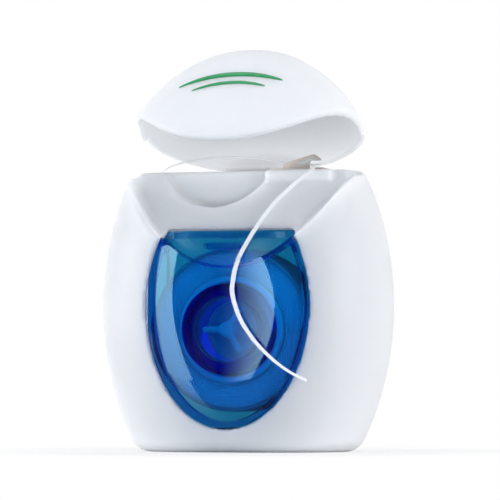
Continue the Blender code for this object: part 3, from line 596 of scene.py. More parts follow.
def window_outline(grow, top_grow):
    """Outline of the window, grown outward: an arc on each side and half an ellipse below."""
    half = WINDOW_HALF_WIDTH + grow
    top = WINDOW_TOP + top_grow
    fall = WINDOW_HALF_WIDTH - WINDOW_TOP_HALF_WIDTH
    climb = WINDOW_TOP - WINDOW_LEVEL
    radius = (climb ** 2 + fall ** 2) / (2 * fall) + grow
    below = WINDOW_LEVEL - WINDOW_BOTTOM + grow
    levels = spread(top, WINDOW_LEVEL, OUTLINE_STEPS // 2)
    quarter = circle(1.0, 4 * OUTLINE_STEPS)[1:OUTLINE_STEPS]
    right = [(arc_size(half, radius, WINDOW_LEVEL, z), z) for z in levels]
    right += [(half * a, WINDOW_LEVEL - below * b) for a, b in quarter]
    left = [(-x, z) for x, z in reversed(right)]
    return right + [(0.0, WINDOW_LEVEL - below)] + left


def window_prism(grow, top_grow, extra=0.0):
    """The window's outline run through the front wall."""
    near = -FRONT_DEPTH - OVERRUN - extra
    return flat_plate("prism", window_outline(grow, top_grow), near, -HUB_END_DEPTH + extra)


def scoop(wall):
    """The finger scoop in the slope, or the wall round it."""
    level = BODY_HEIGHT - SCOOP_DEPTH + SCOOP_RADIUS
    radius = SCOOP_RADIUS + wall
    near, far = -FRONT_DEPTH - OVERRUN, wall - SCOOP_BACK_DEPTH
    return rod("scoop", radius, radius, near, far, SCOOP_CENTRE_X, level)


def hinge_pocket(end, beyond, wall=0.0):
    """All behind the flat land of the hinge, which ends in a slope, or the wall in front of it."""
    land = HINGE_LAND_DEPTH - wall
    far = BACK_DEPTH + OVERRUN
    side = math.copysign(1.0, end - beyond)
    corner = end + side * wall * math.tan(RUNOUT_ANGLE / 2)
    runout = corner + side * (far - land) / math.tan(RUNOUT_ANGLE)
    return side_plate("pocket", ((land, corner), (far, runout), (far, beyond), (land, beyond)), HALF_WIDTH)


def housing_solid():
    """Both shells in one, before they are parted."""
    housing = stepped_form("housing", 0.0, LID_SEAT_DEPTH, 0.0, 0.0)
    cut(housing, scoop(0.0))
    block = box(
        "block",
        (BLOCK_LEFT, -BLOCK_DEPTH, BODY_HEIGHT - BLOCK_HEIGHT),
        (BLOCK_RIGHT, -SLOPE_TOP_DEPTH + OVERRUN, BODY_HEIGHT))
    join(housing, round_edges(block, BLOCK_ROUND))
    cavity = stepped_form("cavity", SHELL_WALL, LID_SEAT_DEPTH + SHELL_WALL, SHELL_WALL, SHELL_WALL)
    cut(cavity, scoop(SHELL_WALL))
    pocket_end = BODY_HEIGHT - HINGE_POCKET
    cut(cavity, hinge_pocket(pocket_end, BODY_HEIGHT, SHELL_WALL))
    cut(housing, cavity)
    return cut(housing, hinge_pocket(pocket_end, BODY_HEIGHT + OVERRUN))


def soften_ridges(obj):
    """Round the ridges of the recess more broadly than the other edges."""
    places = np.zeros(len(obj.data.vertices) * 3, np.float32)
    obj.data.vertices.foreach_get("co", places)
    x, y, z = places.reshape(-1, 3).T
    away = np.abs(z - lip_level(x, SEAT_DROP)) * RIDGE_LEAN
    reach = np.where(x > 0.0, RIDGE_REACH[1], RIDGE_REACH[0])
    near = np.clip(1.0 - away / reach, 0.0, 1.0)
    side = np.clip((np.abs(x) - WINDOW_TOP_HALF_WIDTH - RIDGE_START) / RIDGE_START, 0.0, 1.0)
    front = np.clip((RIDGE_BACK - y) / RIDGE_START, 0.0, 1.0)
    weights = eased(near) * side * front
    group = obj.vertex_groups.new(name="soft")
    for index in np.nonzero(weights > LEAST_WEIGHT)[0]:
        group.add([int(index)], float(weights[index]), "REPLACE")
    settle(add_modifier(obj, "SMOOTH", factor=0.5, iterations=RIDGE_PASSES, vertex_group="soft"))
    obj.vertex_groups.clear()
    return obj


def front_shell_skin(housing):
    """Front half of the housing, with the window's opening, the outlet and the cutter's seat."""
    shell = scene_object("front_shell_skin", housing.data.copy())
    common(shell, half_space(-FRONT_DEPTH - OVERRUN, SPLIT_DEPTH - GAP / 2))
    cut(shell, window_prism(GAP, GAP))
    radius, length = OUTLET_COLLAR
    join(shell, outlet_rod(radius, BODY_HEIGHT - length, BODY_HEIGHT - SHELL_WALL / 2))
    cut(shell, outlet_rod(OUTLET_RADIUS, BODY_HEIGHT - OVERRUN, BODY_HEIGHT + OVERRUN))
    front, back = CUTTER_Y
    seats = [(CUTTER_X, front, BODY_HEIGHT + CUTTER_PROUD - CUTTER_SHEET - GAP)]
    seats += [(span, back - CUTTER_SHEET, BODY_HEIGHT - OVERRUN) for span in LEG_SPANS]
    for (left, right), near, low in seats:
        far_corner = (right + GAP, back + GAP, BODY_HEIGHT + OVERRUN)
        cut(shell, box("cutter_seat", (left - GAP, near - GAP, low), far_corner))
    return soften_ridges(melt(shell))


def ribbed_post():
    """The post that stands in the hub's bore: a core, its ribs and a thin web across the collar."""
    core = POST_CORE_RADIUS
    post = rod("post", core, core, -POST_END_DEPTH - GAP, BACK_DEPTH + OVERRUN)
    for index in range(POST_RIB_COUNT):
        rib = box(
            "rib",
            (0.0, -POST_END_DEPTH, -POST_RIB / 2),
            (POST_RADIUS, BACK_DEPTH + OVERRUN / 2, POST_RIB / 2))
        turn = Matrix.Rotation(math.radians(180.0 - 360.0 * index / POST_RIB_COUNT), 4, "Y")
        rib.data.transform(Matrix.Translation((0.0, 0.0, HUB_LEVEL)) @ turn)
        join(post, rib)
    fill = COLLAR_BORE_RADIUS + GAP
    web = rod("web", SHOULDER_RADIUS, SHOULDER_RADIUS, *WEB_DEPTHS)
    return join(post, common(web, rod("bore_fill", fill, fill, -FRONT_DEPTH, BACK_DEPTH)))


def seam_tongue():
    """Thin tongue of the rear shell that closes the seam from the inside."""
    inset = SHELL_WALL + TONGUE_PLAY
    form = body_form("tongue", inset, inset, BODY_HEIGHT - inset)
    inset += TONGUE_WALL
    top = BODY_HEIGHT - inset
    cut(form, body_form("tongue_hollow", inset, inset, top))
    common(form, half_space(SPLIT_DEPTH - TONGUE_REACH, SPLIT_DEPTH + TONGUE_REACH))
    root = body_form("root", inset - TONGUE_WALL - 2 * TONGUE_PLAY, inset, top)
    cut(root, body_form("root_hollow", inset - TONGUE_PLAY, 0.0, BODY_HEIGHT))
    common(root, half_space(SPLIT_DEPTH + GAP, SPLIT_DEPTH + TONGUE_REACH))
    return join(form, root)


def rear_shell_skin(housing):
    """Back half of the housing, with the hub's collar, the post and the seam's tongue."""
    shell = scene_object("rear_shell_skin", housing.data.copy())
    common(shell, half_space(SPLIT_DEPTH + GAP / 2, BACK_DEPTH + OVERRUN))
    collar_front = -HUB_END_DEPTH + GAP
    shoulder = BOBBIN_BACK + GAP
    carrier = turned("carrier", [
        (COLLAR_BORE_RADIUS, collar_front), (HUB_RADIUS, collar_front), (HUB_RADIUS, shoulder),
        (SHOULDER_RADIUS, shoulder), (SHOULDER_RADIUS, BACK_DEPTH), (COLLAR_BORE_RADIUS, BACK_DEPTH)])
    join(carrier, ribbed_post())
    common(carrier, body_form("inside", SHELL_WALL / 2, SHELL_WALL, BODY_HEIGHT))
    join(shell, carrier)
    join(shell, seam_tongue())
    return melt(shell)


def lid_skin():
    """Domed lid with its long front lip, turned open about its hinge."""
    low = BODY_HEIGHT - LIP_DROP - OVERRUN
    reach = HALF_WIDTH + OVERRUN
    front = -FRONT_DEPTH - OVERRUN
    dome = lid_form("lid_skin", 0.0, low)
    hollow = lid_form("lid_hollow", LID_WALL, low - OVERRUN)
    pocket_end = BODY_HEIGHT + HINGE_POCKET
    cut(hollow, hinge_pocket(pocket_end, low - 2 * OVERRUN, LID_WALL))
    cut(dome, hollow)
    below = box("below", (-reach, front, -OVERRUN), (reach, BACK_DEPTH + OVERRUN, BODY_HEIGHT + GAP))
    cut(below, flat_plate("above_lip", lip_outline(LIP_DROP, -GAP), front - OVERRUN, 0.0))
    cut(dome, below)
    cut(dome, hinge_pocket(pocket_end, low - OVERRUN))
    melt(dome)
    dome.data.transform(OPENING)
    return dome


def hinge_film():
    """Living hinge: a strap from the back wall to the lid, thinnest at the bend."""
    stations = []
    for step in range(-FILM_STEPS, FILM_STEPS + 1):
        share = abs(step) / FILM_STEPS
        direction = LID_UP if step > 0 else Vector((0.0, 0.0, -1.0))
        thin = FILM_THIN_SHARE + (1.0 - FILM_THIN_SHARE) * min(1.0, share * FILM_GROWTH)
        normal = Vector((0.0, 1.0, 0.0)) if step < 0 else Vector((0.0, LID_UP.z, -LID_UP.y))
        if step == 0:
            normal = Vector((0.0, 1.0 + LID_UP.z, -LID_UP.y)).normalized()
        place = HINGE + direction * HINGE_FLANGE * share ** FILM_SPACING
        across = normal * HINGE_FILM / 2 * thin
        stations.append((place - across, place + across))
    profile = [near for near, far in stations] + [far for near, far in reversed(stations)]
    columns = spread(-HINGE_HALF_WIDTH, HINGE_HALF_WIDTH, FILM_COLUMNS)
    rings = [[(x, point.y, point.z) for point in profile] for x in columns]
    return round_edges(loft("hinge_film", rings), HINGE_EDGE, segments=2, angle=50.0)


def pane_form():
    """The window's wall with the sunk lid seat, its rim and the flange behind."""
    seat_inner = WINDOW_SEAT_DEPTH + WINDOW_WALL
    flange_skin = SHELL_WALL + GAP
    flange_seat = LID_SEAT_DEPTH + flange_skin
    rim_skin = flange_skin + WINDOW_FLANGE_WALL
    rim_seat = seat_inner + WINDOW_FLANGE_WALL / 2
    pane = stepped_form("window_pane", 0.0, WINDOW_SEAT_DEPTH, 0.0, 0.0)
    common(pane, window_prism(0.0, 0.0))
    flange = stepped_form("flange", flange_skin, flange_seat, flange_skin, SHELL_WALL)
    common(flange, window_prism(WINDOW_FLANGE, -GAP, GAP))
    join(pane, flange)
    cut(pane, stepped_form("rim_hollow", rim_skin, rim_seat, rim_skin, WINDOW_WALL))
    hollow = stepped_form("hollow", WINDOW_WALL, seat_inner, SHELF_WALL, WINDOW_WALL)
    common(hollow, window_prism(-WINDOW_RIM, -WINDOW_RIM, OVERRUN))
    return cut(pane, hollow)


def window_pane():
    """Front window with its hub, catch bar and top rib, and how matt each face is."""
    pane = pane_form()
    front = arc_size(*FRONT_ARC, HUB_LEVEL)
    end = -HUB_END_DEPTH
    bore_end = HUB_BORE_END_RADIUS
    hub = rod("hub", HUB_RADIUS, HUB_RADIUS, -front + WINDOW_WALL / 2, end)
    bore = rod("bore", HUB_BORE_RADIUS, bore_end, -front + WINDOW_WALL, end)
    join(bore, rod("mouth", bore_end, bore_end, end - GAP, end + OVERRUN))
    join(pane, hub)
    cut(pane, bore)
    (bar_left, bar_right), level, height, proud = CATCH_BAR
    base = form_sizes(level)[1] - WINDOW_SEAT_DEPTH
    root = -base + WINDOW_WALL + BAR_ROOT
    radius = height / 2
    outline = []
    for a, b in circle(radius, OUTLINE_STEPS, 0.5):
        outline.append(((bar_right - radius if a > 0.0 else bar_left + radius) + a, level + b))
    join(pane, flat_plate("bar", outline, -base - proud, root))
    half = WINDOW_TOP_HALF_WIDTH - WINDOW_RIM
    top = WINDOW_TOP - GAP
    join(pane, box("top_rib", (-half, -base + WINDOW_WALL / 2, top - TOP_RIB), (half, root, top)))
    matt = pane.data.attributes.new("matt", "FLOAT", "FACE")
    for face in pane.data.polygons:
        place = face.center
        on_bar = bar_left < place.x < bar_right and abs(place.z - level) < height
        in_seat = place.z > lip_level(place.x, SEAT_DROP) and not on_bar
        rough = MATT_SEAT if in_seat else 0.0
        matt.data[face.index].value = MATT_INSIDE if face.normal.y > MATT_FACING else rough
    return pane


def cutter_clip():
    """Bent sheet-metal clip: a base plate, two legs behind it and the raised tooth."""
    top = BODY_HEIGHT + CUTTER_PROUD
    (left, right), (front, back) = CUTTER_X, CUTTER_Y
    clip = box("cutter_clip", (left, front, top - CUTTER_SHEET), (right, back, top))
    for leg_left, leg_right in LEG_SPANS:
        join(clip, box(
            "leg",
            (leg_left, back - CUTTER_SHEET, top - CUTTER_LEG[1]),
            (leg_right, back, top - CUTTER_SHEET / 2)))
    places = [left + share * (right - left) for share in TOOTH_WIDTH_SHARES]
    heel, notch_left, peak_left, peak_right, tip = places
    root = top - CUTTER_SHEET / 2
    notch_top = top + NOTCH_HEIGHT
    outline = (
        (heel, root), (notch_left, root), (notch_left, notch_top - TOOTH_CORNER),
        (notch_left + TOOTH_CORNER, notch_top), (tip, notch_top), (tip, notch_top + TOOTH_CORNER),
        (peak_right, top + TOOTH_HEIGHT), (peak_left, top + TOOTH_HEIGHT),
        (heel, top + TOOTH_HEEL_HEIGHT))
    join(clip, flat_plate("tooth", outline, TOOTH_Y - CUTTER_SHEET / 2, TOOTH_Y + CUTTER_SHEET / 2))
    return round_edges(clip, CUTTER_EDGE, segments=2)


def smooth_route(route, spacing):
    """Evenly spaced points on a smooth curve through a route."""
    route = [Vector(place) for place in route]
    padded = [2 * route[0] - route[1]] + route + [2 * route[-1] - route[-2]]
    fine = []
    for before, start, end, after in zip(padded, padded[1:], padded[2:], padded[3:]):
        for step in range(ROUTE_STEPS):
            t = step / ROUTE_STEPS
            fine.append(0.5 * (
                2.0 * start + (end - before) * t
                + (2.0 * before - 5.0 * start + 4.0 * end - after) * t ** 2
                + (3.0 * start - before - 3.0 * end + after) * t ** 3))
    fine.append(route[-1])
    length = route_length(fine)
    count = max(2, round(length / spacing))
    points = [fine[0]]
    travelled = 0.0
    target = length / count
    for a, b in zip(fine, fine[1:]):
        span = (b - a).length
        while travelled + span >= target and len(points) < count:
            points.append(a.lerp(b, (target - travelled) / span))
            target += length / count
        travelled += span
    points.append(fine[-1])
    return points


def route_length(points):
    """Length of the line through points."""
    return sum((b - a).length for a, b in zip(points, points[1:]))


def tape(name, points, facing, width, thickness):
    """A flat tape along points, with rounded edges, whose face looks along facing(share)."""
    count = len(points) - 1
    stations = []
    for index, point in enumerate(points):
        tangent = (points[min(index + 1, count)] - points[max(index - 1, 0)]).normalized()
        normal = Vector(facing(index / count))
        normal = (normal - tangent * normal.dot(tangent)).normalized()
        stations.append((point, tangent.cross(normal), normal))
    flat, edge = TAPE_POWERS
    sides = circle(1.0, TAPE_SIDES)
    section = [(bulge(a, flat) * width / 2, bulge(b, edge) * thickness / 2) for a, b in sides]
    obj = sweep(name, stations, section)
    layer = obj.data.uv_layers.new(name="along")
    for loop in obj.data.loops:
        row, side = divmod(loop.vertex_index, TAPE_SIDES)
        layer.data[loop.index].uv = (abs(sides[side][0]), row / count)
    return obj


def strand_facing(share):
    """Flat over the deck, turned at the tooth and facing front where the floss hangs."""
    front = STRAND_FRONT.lerp(STRAND_END, share_between(share, *STRAND_TWIST))
    return STRAND_FLAT.lerp(front, eased(share_between(share, *STRAND_TURN)))


def winding_turns():
    """The outermost turns of floss, one unbroken wound tape."""
    stations = []
    for step in range(TURN_COUNT * TURN_STEPS + 1):
        angle = 2.0 * math.pi * step / TURN_STEPS
        y = BOBBIN_MIDDLE + TURN_PITCH * (step / TURN_STEPS - TURN_COUNT / 2)
        outward = Vector((-math.cos(angle), 0.0, math.sin(angle)))
        point = Vector((0.0, y, HUB_LEVEL)) + outward * WINDING_RADIUS
        stations.append((point, outward, Vector((0.0, 1.0, 0.0))))
    section = [(a * TURN_STRETCH, b) for a, b in circle(TURN_DIAMETER / 2, TURN_SIDES)]
    return sweep("winding_turns", stations, section)


def winding_body():
    """Inner layers of floss, with the edges of the layers showing on both faces."""
    inner, outer = BOBBIN_RADIUS, PACK_RADIUS + GAP + TURN_DIAMETER / 4
    front = -BOBBIN_FRONT + CORD_DIAMETER / 2
    back = BOBBIN_BACK - CORD_DIAMETER / 2
    face = []
    for step, radius in enumerate(spread(inner, outer, 4 * LAYER_COUNT)):
        face.append((radius, LAYER_RIPPLE * (1.0 - math.cos(0.5 * math.pi * step))))
    profile = [(radius, front + depth) for radius, depth in face]
    profile += [(radius, back - depth) for radius, depth in reversed(face)]
    return turned("winding_body", profile)


def spool_core_skin():
    """Core of the bobbin, a tube with chamfered ends."""
    inner, outer, chamfer = BOBBIN_BORE, BOBBIN_RADIUS, BOBBIN_CHAMFER
    front, back = -BOBBIN_FRONT, BOBBIN_BACK
    return turned("spool_core_skin", [
        (inner, front + chamfer), (inner + chamfer, front), (outer - chamfer, front),
        (outer, front + chamfer), (outer, back - chamfer), (outer - chamfer, back),
        (inner + chamfer, back), (inner, back - chamfer)])


def feed_route():
    """Route of the inner run of floss, as in the CAD model."""
    start_y = BOBBIN_MIDDLE + CORD_PITCH * CORD_TURNS / 2
    level = HUB_LEVEL + CORD_DIAMETER
    return (
        (FEED_X, start_y, level),
        (FEED_X, start_y, level + WINDING_RADIUS),
        (OUTLET_X, OUTLET_Y, BODY_HEIGHT - OUTLET_COLLAR[1]),
        (OUTLET_X, OUTLET_Y, BODY_HEIGHT))


def dome_point(x, z, lift):
    """A point on the shut lid's front, lifted off its surface."""
    if z > BODY_HEIGHT:
        width, front, _ = dome_sizes((z - BODY_HEIGHT) / DOME_HEIGHT, 0.0)
    else:
        width, front, _ = form_sizes(z)
    share = min(abs(x) / width, 1.0)
    return Vector((x, -(front + lift) * (1.0 - share ** FRONT_POWER) ** (1.0 / FRONT_POWER), z))


def lid_accent(name, start, end, rise, thickness):
    """A printed line with tapered ends on the front of the lid."""
    rows = []
    for share in spread(0.0, 1.0, PRINT_STEPS):
        x = start[0] + (end[0] - start[0]) * share
        z = start[1] + (end[1] - start[1]) * share + rise * 4.0 * share * (1.0 - share)
        taper = math.sqrt(max(0.0, 1.0 - abs(2.0 * share - 1.0) ** PRINT_POWER))
        half = thickness / 2 * taper + PRINT_TIP
        rows.append([OPENING @ dome_point(x, z + half * side, PRINT_LIFT) for side in (-1, 0, 1)])
    return settle(add_modifier(sheet(name, rows), "SOLIDIFY", thickness=PRINT_THICKNESS, offset=0.0))


def feed(tree, node, inputs):
    """Set a node's inputs, each to a value or to another node's output."""
    for key, value in inputs.items():
        if isinstance(value, bpy.types.NodeSocket):
            tree.links.new(value, node.inputs[key])
        else:
            node.inputs[key].default_value = value


def add_node(tree, kind, inputs=None, **settings):
    """Add a shader node with its settings and inputs; return its outputs."""
    node = tree.nodes.new("ShaderNode" + kind)
    for setting, value in settings.items():
        setattr(node, setting, value)
    feed(tree, node, inputs or {})
    return node.outputs


def maths(tree, operation, *values):
    """The output of a sum on outputs and numbers."""
    return add_node(tree, "Math", dict(enumerate(values)), operation=operation)[0]


def mapped(tree, value, goal, span=(0.0, 1.0), easing="LINEAR"):
    """A value mapped from a span to a goal range."""
    return add_node(tree, "MapRange", {
        "Value": value, "From Min": span[0], "From Max": span[1], "To Min": goal[0], "To Max": goal[1],
    }, interpolation_type=easing)["Result"]


def step_in(tree, value, span, goal=(0.0, 1.0)):
    """A value mapped from a span to a goal range, with a soft start and end."""
    return mapped(tree, value, goal, span, "SMOOTHSTEP")


def noise(tree, scale, detail, coordinates="Object", stretch=None):
    """A noise over the object's or other coordinates, stretched or not."""
    place = add_node(tree, "TexCoord")[coordinates]
    if stretch:
        place = add_node(tree, "Mapping", {"Vector": place, "Scale": stretch})["Vector"]
    return add_node(tree, "TexNoise", {"Vector": place, "Scale": scale, "Detail": detail})["Fac"]


def mix_tones(tree, factor, low, high):
    """A colour between two."""
    inputs = {"Factor": factor, "A": (*low, 1.0), "B": (*high, 1.0)}
    return add_node(tree, "Mix", inputs, data_type="RGBA")["Result"]


def mix_shaders(tree, factor, first, second):
    """A shader between two."""
    return add_node(tree, "MixShader", {"Fac": factor, 1: first, 2: second})[0]


def new_material(name):
    """A material, its node tree and its Principled shader."""
    material = bpy.data.materials.new(name)
    material.use_nodes = True
    return material, material.node_tree, material.node_tree.nodes["Principled BSDF"]


def ramp(tree, source, low, high):
    """A colour between two, by the middle part of a noise."""
    node = tree.nodes.new("ShaderNodeValToRGB")
    for element, position, colour in zip(node.color_ramp.elements, (0.3, 0.7), (low, high)):
        element.position = position
        element.color = (*colour, 1.0)
    feed(tree, node, {"Fac": source})
    return node.outputs["Color"]


def bump(tree, height, strength, distance):
    """A surface direction bumped by a height."""
    return add_node(tree, "Bump", {"Strength": strength, "Distance": distance, "Height": height})["Normal"]


def grained(name, tones, roughness, relief, tone, grain=None, inputs=None):
    """A material whose colour follows one noise, and its roughness and bump a second or the same."""
    material, tree, shader = new_material(name)
    tone = noise(tree, *tone)
    grain = noise(tree, *grain) if grain else tone
    feed(tree, shader, {
        "Base Color": ramp(tree, tone, *tones), "Roughness": mapped(tree, grain, roughness),
        "Normal": bump(tree, grain, *relief), **(inputs or {})})
    return material


def scattering(weight, depth):
    """Shader inputs that spread light to a depth under the surface."""
    return {"Subsurface Weight": weight, "Subsurface Radius": (1.0, 1.0, 1.0), "Subsurface Scale": depth}


def white_plastic(name, depth):
    """Satin white moulded plastic with faint grain, in which light spreads to a depth."""
    return grained(
        name, tones=((0.845, 0.85, 0.86), (0.88, 0.883, 0.89)), roughness=(0.38, 0.54),
        relief=(0.08, 0.00005), tone=(55.0, 3.0), grain=(900.0, 4.0),
        inputs={**scattering(1.0, depth), "IOR": PLASTIC_IOR})


def blue_window():
    """Clear blue polished plastic, darker where light has a longer way through."""
    material, tree, shader = new_material("blue_window_look")
    haze = mapped(tree, noise(tree, 400.0, 2.0), (0.01, 0.05))
    matt = add_node(tree, "Attribute", attribute_name="matt")["Fac"]
    volume = add_node(tree, "VolumeAbsorption", {"Color": (0.10, 0.88, 0.992, 1.0), "Density": 4000.0})
    feed(tree, shader, {
        "Base Color": (1.0, 1.0, 1.0, 1.0), "Transmission Weight": 1.0, "IOR": PLASTIC_IOR,
        "Roughness": maths(tree, "ADD", haze, matt),
        "Normal": bump(tree, noise(tree, 180.0, 1.0), 0.05, 0.00004)})
    feed(tree, tree.nodes["Material Output"], {"Volume": volume["Volume"]})
    return material


def floss_fibre():
    """Waxed white tape with fine lines along its length."""
    return grained(
        "floss_look", tones=((0.94, 0.945, 0.95), (0.98, 0.98, 0.98)), roughness=(0.38, 0.6),
        relief=(0.15, 0.00005), tone=(1.0, 2.0, "UV", (26.0, 90.0, 1.0)),
        inputs=scattering(0.25, TAPE_DEPTH))


def wound_floss():
    """White floss on the bobbin, with fine lines round it."""
    return grained(
        "wound_floss_look", tones=((0.91, 0.915, 0.92), (0.95, 0.95, 0.95)), roughness=(0.45, 0.7),
        relief=(0.12, 0.00005), tone=(1.0, 3.0, "Object", (300.0, 9000.0, 300.0)),
        inputs=scattering(1.0, WOUND_DEPTH))


def core_plastic():
    """Plain moulded plastic of the bobbin's core."""
    return grained(
        "core_plastic_look", tones=((0.86, 0.87, 0.88), (0.90, 0.91, 0.92)), roughness=(0.42, 0.6),
        relief=(0.15, 0.00004), tone=(120.0, 3.0), grain=(1500.0, 3.0))


def cutter_steel():
    """Stamped stainless sheet, with fine rolling lines."""
    return grained(
        "cutter_steel_look", tones=((0.50, 0.40, 0.36), (0.67, 0.56, 0.51)), roughness=(0.36, 0.52),
        relief=(0.12, 0.00003), tone=(1.0, 4.0, "Object", (500.0, 9000.0, 12000.0)),
        inputs={"Metallic": 1.0})


def green_print():
    """Printed green ink, slightly uneven."""
    return grained(
        "green_print_look", tones=((0.008, 0.30, 0.085), (0.012, 0.36, 0.105)), roughness=(0.3, 0.45),
        relief=(0.1, 0.00002), tone=(700.0, 3.0))


def dress(obj, material, body, slot, *nodes, sharp=0.0):
    """Finish a piece: material, shading, body and the CAD nodes that it stands for; the slot is not used."""
    obj.data.materials.clear()
    obj.data.materials.append(material)
    obj.data.shade_smooth()
    if sharp:
        obj.data.set_sharp_from_angle(angle=math.radians(sharp))
    if body:
        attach(obj, body)
    if nodes:
        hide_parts(*nodes)
    return obj


def build_housing():
    """Make the shells, the lid, the hinge, the window and the cutter."""
    white = white_plastic("white_plastic_look", WHITE_DEPTH)
    dense = white_plastic("dense_plastic_look", DENSE_DEPTH)
    strap = white_plastic("film_plastic_look", FILM_DEPTH)
    housing = housing_solid()
    dress(front_shell_skin(housing), white, "housing", "white_plastic", "front_shell")
    dress(rear_shell_skin(housing), dense, "housing", "white_plastic", "rear_shell")
    bpy.data.objects.remove(housing, do_unlink=True)
    dress(lid_skin(), white, "lid", "white_plastic", "lid")
    film = dress(hinge_film(), strap, None, "white_plastic", "living_hinge", sharp=40.0)
    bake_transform(film)
    dress(window_pane(), blue_window(), "housing", "blue_window", "window_insert", sharp=35.0)
    dress(cutter_clip(), cutter_steel(), "housing", "cutter_steel", "cutter", sharp=35.0)


def build_floss():
    """Make the bobbin, its winding, the inner run and the free length of floss."""
    floss, wound = floss_fibre(), wound_floss()
    dress(spool_core_skin(), core_plastic(), "spool", "core_plastic", "spool_core", sharp=30.0)
    dress(winding_body(), wound, "spool", "floss", "winding_pack", sharp=50.0)
    dress(winding_turns(), wound, "spool", "floss", "winding_outer_layer")
    inner_route = smooth_route(feed_route(), CORD_DIAMETER)
    front = (0.0, -1.0, 0.0)
    inner = tape("floss_feed_tape", inner_route, lambda share: front, FEED_TAPE_WIDTH, TAPE_THICKNESS)
    dress(inner, floss, "housing", "floss", "floss_feed")
    route = smooth_route(FLOSS_ROUTE, CORD_DIAMETER / 2)
    strand = tape("floss_tape", route, strand_facing, TAPE_WIDTH, TAPE_THICKNESS)
    dress(strand, floss, "housing", "floss", "floss_strand")


def print_lid():
    """Make the printed lines on the lid."""
    green = green_print()
    for index, line in enumerate(ACCENT_LINES):
        dress(lid_accent(f"lid_accent_{index + 1}", *line), green, "lid", "white_plastic")


def around(azimuth, distance, height):
    """A place round the dispenser: degrees from the front towards the right, and metres."""
    angle = math.radians(azimuth)
    return distance * math.sin(angle), -distance * math.cos(angle), height


def turn_towards(obj, place, target):
    """Put a camera or lamp at a place, facing a target."""
    obj.location = place
    obj.rotation_euler = (Vector(target) - Vector(place)).to_track_quat("-Z", "Y").to_euler()


def add_camera():
    """The camera at the photograph's angle."""
    data = bpy.data.cameras.new("camera")
    data.sensor_width = SENSOR
    data.lens = SENSOR * PIXELS_AT_ONE_METRE / FRAME_PIXELS
    camera = scene_object("camera", data)
    turn_towards(camera, around(CAMERA_AZIMUTH, CAMERA_DISTANCE, CAMERA_HEIGHT), AIM)
    bpy.context.scene.camera = camera


def add_lamp(name, place, size, power):
    """A soft rectangular lamp that faces the dispenser, unseen itself."""
    data = bpy.data.lights.new(name, "AREA")
    data.shape = "RECTANGLE"
    data.size, data.size_y = size
    data.energy = power
    lamp = scene_object(name, data)
    lamp.visible_camera = False
    turn_towards(lamp, around(*place), LAMP_AIM)


def add_world():
    """White to the camera and through the window; else a bright backdrop and a dim room in front."""
    world = bpy.data.worlds.new("studio")
    world.use_nodes = True
    bpy.context.scene.world = world
    tree = world.node_tree
    white = tree.nodes["Background"]
    feed(tree, white, {"Color": (1.0, 1.0, 1.0, 1.0), "Strength": 1.0})
    direction = add_node(tree, "TexCoord")["Generated"]
    behind = step_in(tree, add_node(tree, "SeparateXYZ", {0: direction})["Y"], BACKDROP_EDGE)
    shades = []
    for low, high in (ROOM_LIGHT, ROOM_GLOSS):
        shades.append(add_node(tree, "Background", {"Color": mix_tones(tree, behind, low, high)})[0])
    rays = add_node(tree, "LightPath")
    room = mix_shaders(tree, rays["Is Glossy Ray"], *shades)
    seen = maths(tree, "MAXIMUM", rays["Is Camera Ray"], rays["Is Transmission Ray"])
    surface = mix_shaders(tree, seen, room, white.outputs[0])
    feed(tree, tree.nodes["World Output"], {"Surface": surface})


def add_floor():
    """A near white floor with a soft shadow; only light that bounces off it meets a dark wedge."""
    ends = (-FLOOR_HALF, FLOOR_HALF)
    floor = sheet("floor", [[(x, y, 0.0) for x in ends] for y in ends])
    material, tree, shader = new_material("floor_look")
    rays = add_node(tree, "LightPath")
    place = add_node(tree, "TexCoord")["Object"]
    axes = add_node(tree, "SeparateXYZ", {0: place})
    back = maths(tree, "MULTIPLY_ADD", maths(tree, "ABSOLUTE", axes["X"]), WEDGE_SLANT, axes["Y"])
    pale = maths(tree, "MAXIMUM", step_in(tree, back, WEDGE_EDGE), rays["Is Camera Ray"])
    tone = mix_tones(tree, pale, *FLOOR_TONES)
    feed(tree, shader, {"Base Color": tone, "Roughness": 0.9, "Specular IOR Level": 0.1})
    away = add_node(tree, "VectorMath", {0: place}, operation="LENGTH")["Value"]
    share = maths(tree, "MULTIPLY", rays["Is Camera Ray"], step_in(tree, away, FLOOR_FADE, FLOOR_GLOW))
    surface = mix_shaders(tree, share, shader.outputs[0], add_node(tree, "Emission")[0])
    feed(tree, tree.nodes["Material Output"], {"Surface": surface})
    floor.data.materials.append(material)


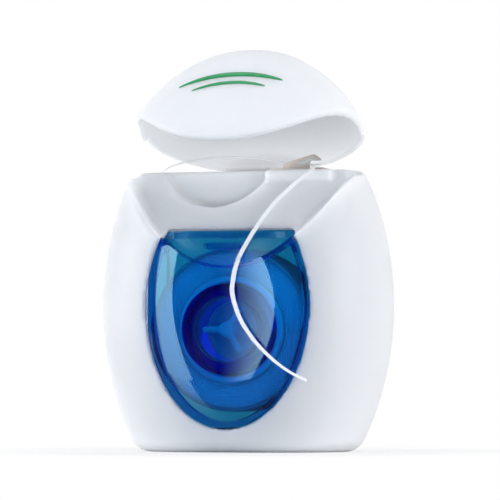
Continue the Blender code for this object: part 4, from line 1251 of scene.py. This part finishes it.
def upright_rows(soft, sharp, middle):
    """Both sides of an upright card, each from its degrees and its bend."""
    rows = []
    for level in spread(*CARD_LEVELS, CARD_ROWS):
        bend = ((level - middle) / CARD_REACH) ** 2
        rows.append([around(side + bow * bend, CARD_DISTANCE, level) for side, bow in (soft, sharp)])
    return rows


def foot_rows():
    """Both sides of the wedge on the floor that carries the left card on."""
    rows = []
    for reach in spread(*FOOT_REACH, CARD_ROWS):
        rows.append([Vector(FOOT_TIP) + Vector(around(side, reach, 0.0)) for side in FOOT_SIDES])
    return rows


def add_card(name, sides, glows, fade):
    """A glowing card that shows only in glossy surfaces, faded in from its first side."""
    shares = spread(0.0, 1.0, CARD_ROWS)
    rows = [[Vector(soft).lerp(Vector(sharp), share) for share in shares] for soft, sharp in sides]
    card = sheet(name, rows)
    layer = card.data.uv_layers.new(name="across")
    for loop in card.data.loops:
        row, column = divmod(loop.vertex_index, CARD_ROWS + 1)
        layer.data[loop.index].uv = (shares[column], shares[row])
    material, tree, _ = new_material(name)
    axes = add_node(tree, "SeparateXYZ", {0: add_node(tree, "UVMap")["UV"]})
    across = step_in(tree, axes["X"], (0.0, fade))
    strength = maths(tree, "MULTIPLY", across, mapped(tree, axes["Y"], glows))
    glow = add_node(tree, "Emission", {"Color": (*CARD_TONE, 1.0), "Strength": strength})[0]
    feed(tree, tree.nodes["Material Output"], {"Surface": glow})
    card.data.materials.append(material)
    for ray in ("camera", "diffuse", "transmission", "shadow"):
        setattr(card, f"visible_{ray}", False)


def add_lights():
    """Glowing cards whose reflections show in the window, and large soft boxes."""
    add_card("left_card", upright_rows(*LEFT_CARD), *LEFT_GLOW)
    add_card("left_foot", foot_rows(), *FOOT_GLOW)
    add_card("front_card", upright_rows(*FRONT_CARD), *FRONT_GLOW)
    for name, lamp in LAMPS.items():
        add_lamp(name, *lamp)


def main():
    """Dress the model and set up the studio."""
    for obj in list(bpy.context.scene.objects):
        if obj.name not in frame["nodes"] and not obj.name.startswith("body:"):
            bpy.data.objects.remove(obj, do_unlink=True)
    bpy.context.scene.view_settings.view_transform = "Standard"
    build_housing()
    build_floss()
    print_lid()
    add_camera()
    add_world()
    add_lights()
    add_floor()


main()
